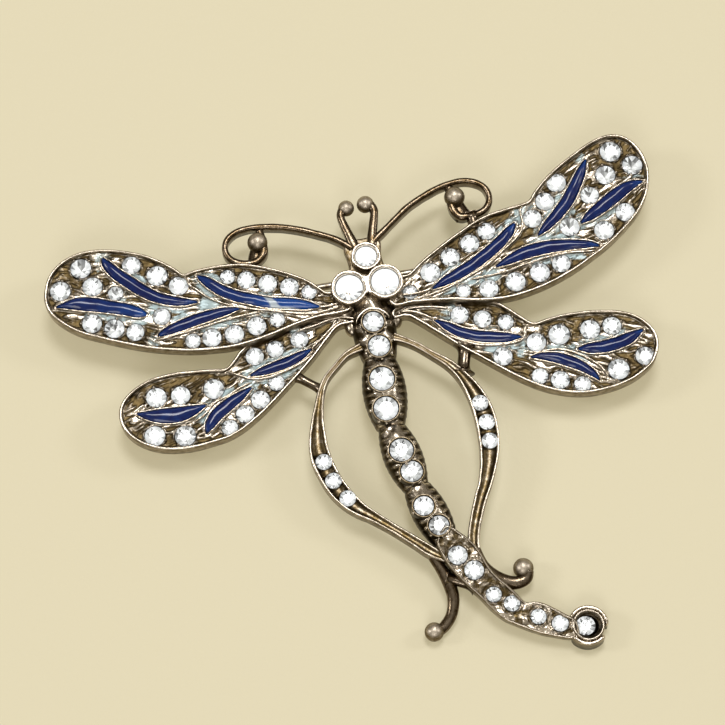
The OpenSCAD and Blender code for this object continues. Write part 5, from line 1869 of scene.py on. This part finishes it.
@dataclass
class Tail:
    """The tail: a sloping tray with a round rim, seats for its stones, and the claw cup at its end."""

    plan: Plan
    top: float = 4.1
    slope: float = 9.7
    thick: float = 1.9
    recess: float = 0.45
    cup_top: float = 2.2
    claw_top: float = 2.1
    pitch: float = 0.07
    margin: float = 0.2
    skirt: float = 0.4

    def build(self) -> None:
        """Makes the tray, its floor and the cup."""
        hinge = self.plan.at([[0.0, TAIL_HINGE]])[0, 1]
        flat = self.plan.outline(TAIL_EDGE)
        run = np.arange(len(flat)) * STEP
        across = np.array([0.10, 0.0, 0.0, 0.0, 0.03, 0.09, 0.16, 0.24, 0.30, 0.34, 0.36])
        down = np.array([self.thick, self.thick - 0.1, 0.45, 0.22, 0.10, 0.03, 0.0, 0.03, 0.12, 0.26, 1.5])
        tone = tones(BACK, DEEP, DEEP, SIDE, SIDE, SIDE, POLISHED, SIDE, SIDE, DEEP, RECESS)
        uneven = 1 + 0.12 * wander(run, 3.0, 2.0)[:, None]
        metal = Shape()
        metal.slab(sloped(carried(flat, across * uneven, -down, True), hinge, self.top, self.slope), tone)
        self.floor(metal, flat, hinge)
        metal.piece("tail_tray", SILVER)
        self.claw_cup()

    def floor(self, metal: Shape, flat: Array, hinge: float) -> None:
        """The tray's floor: lumps between the stones, a lip round each and a pit under it.

        Args:
            metal: the shape that takes it.
            flat: (n, 2) outline in the sloping plane.
            hinge: y of the hinge line.
        """
        size, grid, keep, _ = grid_in(flat, self.pitch, self.margin)
        lean = math.radians(self.slope)
        stones = self.plan.raised(BODY_STONES[8:] + TAIL_END_STONE)
        drop = (stones[:, 3] - self.top) * math.tan(lean)
        stones[:, 1] = hinge + (stones[:, 1] - hinge + drop) * math.cos(lean)
        level = -self.recess + 0.02
        near, gap, turn = nearest_stone(grid, stones)
        lumps = 0.40 * soft_step(gap, 0.10, 0.45) * (0.25 + 0.75 * grain(grid, 0.75, 5))
        lip = 0.40 * np.exp(-((gap - 0.15) / 0.08) ** 2) * (0.70 + 0.30 * np.sin(6 * turn))
        rise = np.maximum(lumps, lip) + 0.05 * grain(grid, 0.25, 6)
        rise = np.where(gap < 0.05, -0.05, rise)
        plane = self.top + (stones[near, 1] - hinge) * math.sin(lean)
        under = stones[near, 3] - 0.25 - 2 * CutStone.pavilion * np.clip(-gap, 0, None) - plane
        dome = prongs(grid, stones, 5)
        rise = np.maximum(rise, 0.42 * dome)
        rise = np.where((gap < 0) & (dome < 0.3), np.minimum(under - level, -0.05), rise)
        height = level + np.minimum(rise, self.recess - 0.05)
        points = sloped(np.column_stack([grid, height]), hinge, self.top, self.slope)
        lit = 0.12 + soft_step(grain(grid, 0.45, 9), 0.30, 0.72)
        bright = 0.10 * (gap > 0.10) + 0.9 * lit * soft_step(rise, 0.08, 0.30)
        tone = toned(bright, 0.75 - 0.45 * bright)
        metal.sheet(points.reshape(*size, 3), tone.reshape(*size, 3), keep.reshape(size), self.skirt)

    def claw_cup(self) -> None:
        """The open cup at the tail's end, with two claws bent round it."""
        x, y, r, reach = self.plan.at([TAIL_CUP[:3]])[0].tolist() + [TAIL_CUP[3] * self.plan.share]
        stone = self.plan.raised(TAIL_END_STONE)[0]
        inner = stone[2] / 2 + 0.05
        cup = Shape()
        radius = np.array([r - 0.1, r, r, r - 0.03, r - 0.10, r - 0.18, r - 0.28, r - 0.36, inner + 0.16,
                           inner + 0.06, inner, inner * 0.6])
        down = np.array([
            self.cup_top, self.cup_top - 0.1, 0.3, 0.1, 0.02, 0.0, 0.08, 0.28, 0.42, 0.46, 0.8, 1.3,
        ])
        tone = tones(
            BACK, DEEP, SIDE, SIDE, WORN, WORN, SIDE, DEEP, RECESS, DEEP, RECESS, RECESS)
        cup.tube(ring_of(radius, self.cup_top - down, x, y), tone[:, None, :])
        for start, sweep in CLAWS:
            a = np.radians(start + np.linspace(0, sweep, 40))
            middle = (r + reach) / 2
            line = np.column_stack([x + middle * np.cos(a), y + middle * np.sin(a)])
            across = (reach - r - 0.02) / 2 * np.array([-1.0, -1.0, -0.8, -0.4, 0.0, 0.4, 0.8, 1.0, 1.0])
            down = np.array([self.claw_top, 0.25, 0.09, 0.02, 0.0, 0.02, 0.09, 0.25, self.claw_top])
            part = both_sides(RECESS, SIDE, WORN, POLISHED, POLISHED)
            size = tapered(len(line), 0.10)[:, None]
            lowered = np.maximum(self.claw_top - 0.25 * (1 - size) - down, 0.0)
            cup.tube(carried(line, across * (0.45 + 0.55 * size), lowered), part)
        cup.piece("tail_cup", SILVER)


@dataclass
class SmallParts:
    """Balls, struts and the feet of the pin."""

    plan: Plan
    hinge_x: float = -20.8
    catch_x: float = 19.3
    pin_y: float = 7.27
    foot: float = 2.4
    foot_top: float = 3.45
    pad_top: float = 4.0
    pad_half: float = 0.5

    def build(self) -> None:
        """Makes them all."""
        for name, row in zip(BALLS, self.plan.raised(list(BALLS.values()))):
            self.ball(name, row)
        self.pads()
        for number, row in enumerate(STRUTS):
            self.strut(f"strut_{number + 1}", row)
        for name, share in (("pin_hinge", self.hinge_x), ("pin_catch", self.catch_x)):
            self.pin_foot(name, share)

    def pads(self) -> None:
        """The flattened inner ends of the feelers under their balls: short tapered bars."""
        for side, rows in PADS.items():
            line = self.plan.line(rows)
            half = line[:, 2:3] / 2
            turn = np.radians([-120, -90, -60, -30, 0, 30, 60, 90, 120])
            tone = both_sides(RECESS, RECESS, DEEP, DEEP, DEEP)
            metal = Shape()
            height = self.pad_top + self.pad_half * (np.cos(turn) - 1)
            metal.tube(carried(line, half * np.sin(turn), height), tone)
            metal.piece("feeler_pad_" + side, BRONZED)

    def ball(self, name: str, row: Array) -> None:
        """A cast ball, with a painted highlight on its upper part.

        Args:
            name: the ball's name.
            row: x, y, diameter and height of the middle.
        """
        x, y, d, height = row
        points = ball_of([x, y, height], [d / 2] * 3)
        # Painted highlight: the ball is toned lighter toward its top.
        bright = 0.18 + soft_step((points[..., 2] - height) / (d / 2), 0.35, 1.0) * 0.52
        metal = Shape()
        metal.tube(points, toned(bright, 0.9))
        metal.piece(name, SATIN)

    def strut(self, name: str, row: list[float]) -> None:
        """A soldered strut: a round bar with flared ends between two points.

        Args:
            name: the strut's name.
            row: both ends and the diameter.
        """
        a = np.append(self.plan.at([row[:2]])[0], row[2])
        b = np.append(self.plan.at([row[3:5]])[0], row[5])
        right, front = bar_axes(a, b)
        u = np.linspace(0, 1, 25)[:, None]
        v = np.linspace(0, 2 * math.pi, 32, endpoint=False)[None, :]
        r = row[6] * self.plan.share / 2 * (0.80 + 0.75 * (2 * u - 1) ** 4)
        spine = a + (b - a) * (-0.15 + 1.3 * u)
        points = spine[:, None, :] + (r * np.cos(v))[:, :, None] * front + (r * np.sin(v))[:, :, None] * right
        # Painted highlight: the bar is toned lighter along its upper side.
        bright = 0.10 + 0.35 * soft_step(np.cos(v), 0.4, 0.95) + 0 * u
        metal = Shape()
        metal.tube(points, toned(bright, 0.6))
        metal.piece(name, BRONZED)

    def pin_foot(self, name: str, share: float) -> None:
        """The pin's hinge or catch: the triangles of the CAD metal that lie in its block.

        Args:
            name: the foot's name.
            share: x of its middle, in percent of the span.
        """
        x, y = self.plan.at([[share, self.pin_y]])[0]
        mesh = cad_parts["frame"].data
        co = mesh_points(mesh)
        mesh.calc_loop_triangles()
        tris = np.zeros(len(mesh.loop_triangles) * 3, int)
        mesh.loop_triangles.foreach_get("vertices", tris)
        tris = tris.reshape(-1, 3)
        reach = self.foot / 2 + 0.01
        block = (np.abs(co[:, 0] - x) < reach) & (np.abs(co[:, 1] - y) < reach)
        block &= co[:, 2] < self.foot_top
        tris = tris[block[tris].all(1)]
        points, corners = np.unique(np.round(co[tris.ravel()], 4), axis=0, return_inverse=True)
        metal = Shape()
        metal.add(points, tones(DEEP), NO_QUADS, corners.reshape(-1, 3))
        metal.piece(name, SILVER, smooth=False)


@dataclass
class Studio:
    """Pale floor, soft light and the photograph's camera, in millimetres of the row frame."""

    turn: float = -10.0
    rise: float = 70.0
    distance: float = 300.0
    lens: float = 138.5
    sensor: float = 36.0
    aim: tuple[float, float, float] = (0.9, 11.854, 5.0)
    frame_px: float = 725.0
    aim_px: tuple[float, float] = (372.0, 310.0)

    def build(self) -> None:
        """Makes the floor, the lights and the camera."""
        self.floor()
        self.lights()
        self.camera()

    def camera(self) -> None:
        """A camera that sees the aim at its pixel: it backs off along its axis and steps aside."""
        a, e = math.radians(self.turn), math.radians(self.rise)
        back = Vector((math.sin(a) * math.cos(e), -math.cos(a) * math.cos(e), math.sin(e)))
        right = Vector((math.cos(a), math.sin(a), 0.0))
        up = back.cross(right)
        focal = self.lens / self.sensor * self.frame_px
        step_x = (self.aim_px[0] - self.frame_px / 2) * self.distance / focal
        step_y = (self.aim_px[1] - self.frame_px / 2) * self.distance / focal
        place = Vector(self.aim) + back * self.distance - right * step_x + up * step_y
        data = bpy.data.cameras.new("camera")
        data.lens = self.lens
        data.sensor_width = self.sensor
        data.clip_start, data.clip_end = 0.01, 10.0
        camera = placed("camera", data)
        turn = Matrix((right, up, back)).transposed().to_4x4()
        camera.matrix_world = Matrix.Translation(place * MM) @ turn
        bpy.context.scene.camera = camera

    def floor(self) -> None:
        """A wide flat pale floor under the brooch."""
        half = 1.5
        mesh = bpy.data.meshes.new("floor")
        corners = [(-half, -half, 0), (half, -half, 0), (half, half, 0), (-half, half, 0)]
        mesh.from_pydata(corners, [], [(0, 1, 2, 3)])
        mesh.materials.append(LEATHER.material())
        floor = placed("floor", mesh)

    def lights(self) -> None:
        """A dim warm room, a soft lamp over the far side and weaker ones to the near side, left and right."""
        world = bpy.data.worlds.new("studio")
        world.use_nodes = True
        nodes = world.node_tree
        background = nodes.nodes["Background"]
        where = nodes.nodes.new("ShaderNodeTexCoord")
        split = nodes.nodes.new("ShaderNodeSeparateXYZ")
        ramp = nodes.nodes.new("ShaderNodeValToRGB")
        ramp.color_ramp.elements[0].position, ramp.color_ramp.elements[0].color = 0.0, (0.09, 0.07, 0.04, 1)
        ramp.color_ramp.elements[1].position, ramp.color_ramp.elements[1].color = 0.85, (0.46, 0.42, 0.34, 1)
        nodes.links.new(where.outputs["Generated"], split.inputs[0])
        nodes.links.new(split.outputs["Z"], ramp.inputs[0])
        nodes.links.new(ramp.outputs[0], background.inputs["Color"])
        background.inputs["Strength"].default_value = 0.8
        bpy.context.scene.world = world
        for name, place, size, power in (
            ("far_lamp", (0.07, 0.30, 0.94), 0.34, 3.6), ("near_lamp", (-0.20, -0.75, 0.75), 0.45, 2.2),
            ("left_lamp", (-0.85, 0.15, 0.60), 0.25, 2.0), ("right_lamp", (0.85, 0.10, 0.60), 0.25, 1.6),
        ):
            lamp = bpy.data.lights.new(name, "AREA")
            lamp.shape = "DISK"
            lamp.size = size
            lamp.energy = power
            lamp.color = (1.0, 0.99, 0.97)
            obj = placed(name, lamp)
            obj.location = place
            obj.rotation_euler = (Vector((0, 0, 0)) - Vector(place)).to_track_quat("-Z", "Y").to_euler()
        bpy.context.scene.view_settings.view_transform = "Standard"


def main() -> None:
    """Builds the brooch piece by piece, then the studio."""
    logging.basicConfig(level=logging.INFO, format="%(name)s %(message)s")
    plan = Plan.measured()
    for name, top, seed in (
        ("left_fore", 5.0, 11), ("right_fore", 5.0, 23), ("left_hind", 4.2, 37), ("right_hind", 4.2, 41),
    ):
        Wing(name, plan, top, seed).build()
    Body(plan).build()
    Head(plan).build()
    Tail(plan).build()
    leg_hinge = plan.at([LEGS["left"][0][:2]])[0, 1]
    foot_hinge = plan.at([[0.0, FOOT_HINGE]])[0, 1]
    for side in ("left", "right"):
        Leg(side, plan, LEGS[side], leg_hinge).build()
        Foot("foot_" + side, plan, FEET[side], foot_hinge).build()
        Feeler("feeler_" + side, plan, FEELERS[side]).build()
        Feeler("horn_" + side, plan, HORNS[side]).build()
    SmallParts(plan).build()
    for seed, node in enumerate(name for name in sorted(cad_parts) if name.startswith("stone")):
        head = node.endswith(("eye", "crown"))
        CutStone(node, seed, lean=0.0 if head else 0.035, fold=12 if head else 8, calm=head).build()
    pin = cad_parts["pin_stem"]
    pin.data.materials.clear()
    pin.data.materials.append(STEEL.material())
    Studio().build()


if __name__ == "__main__":
    main()
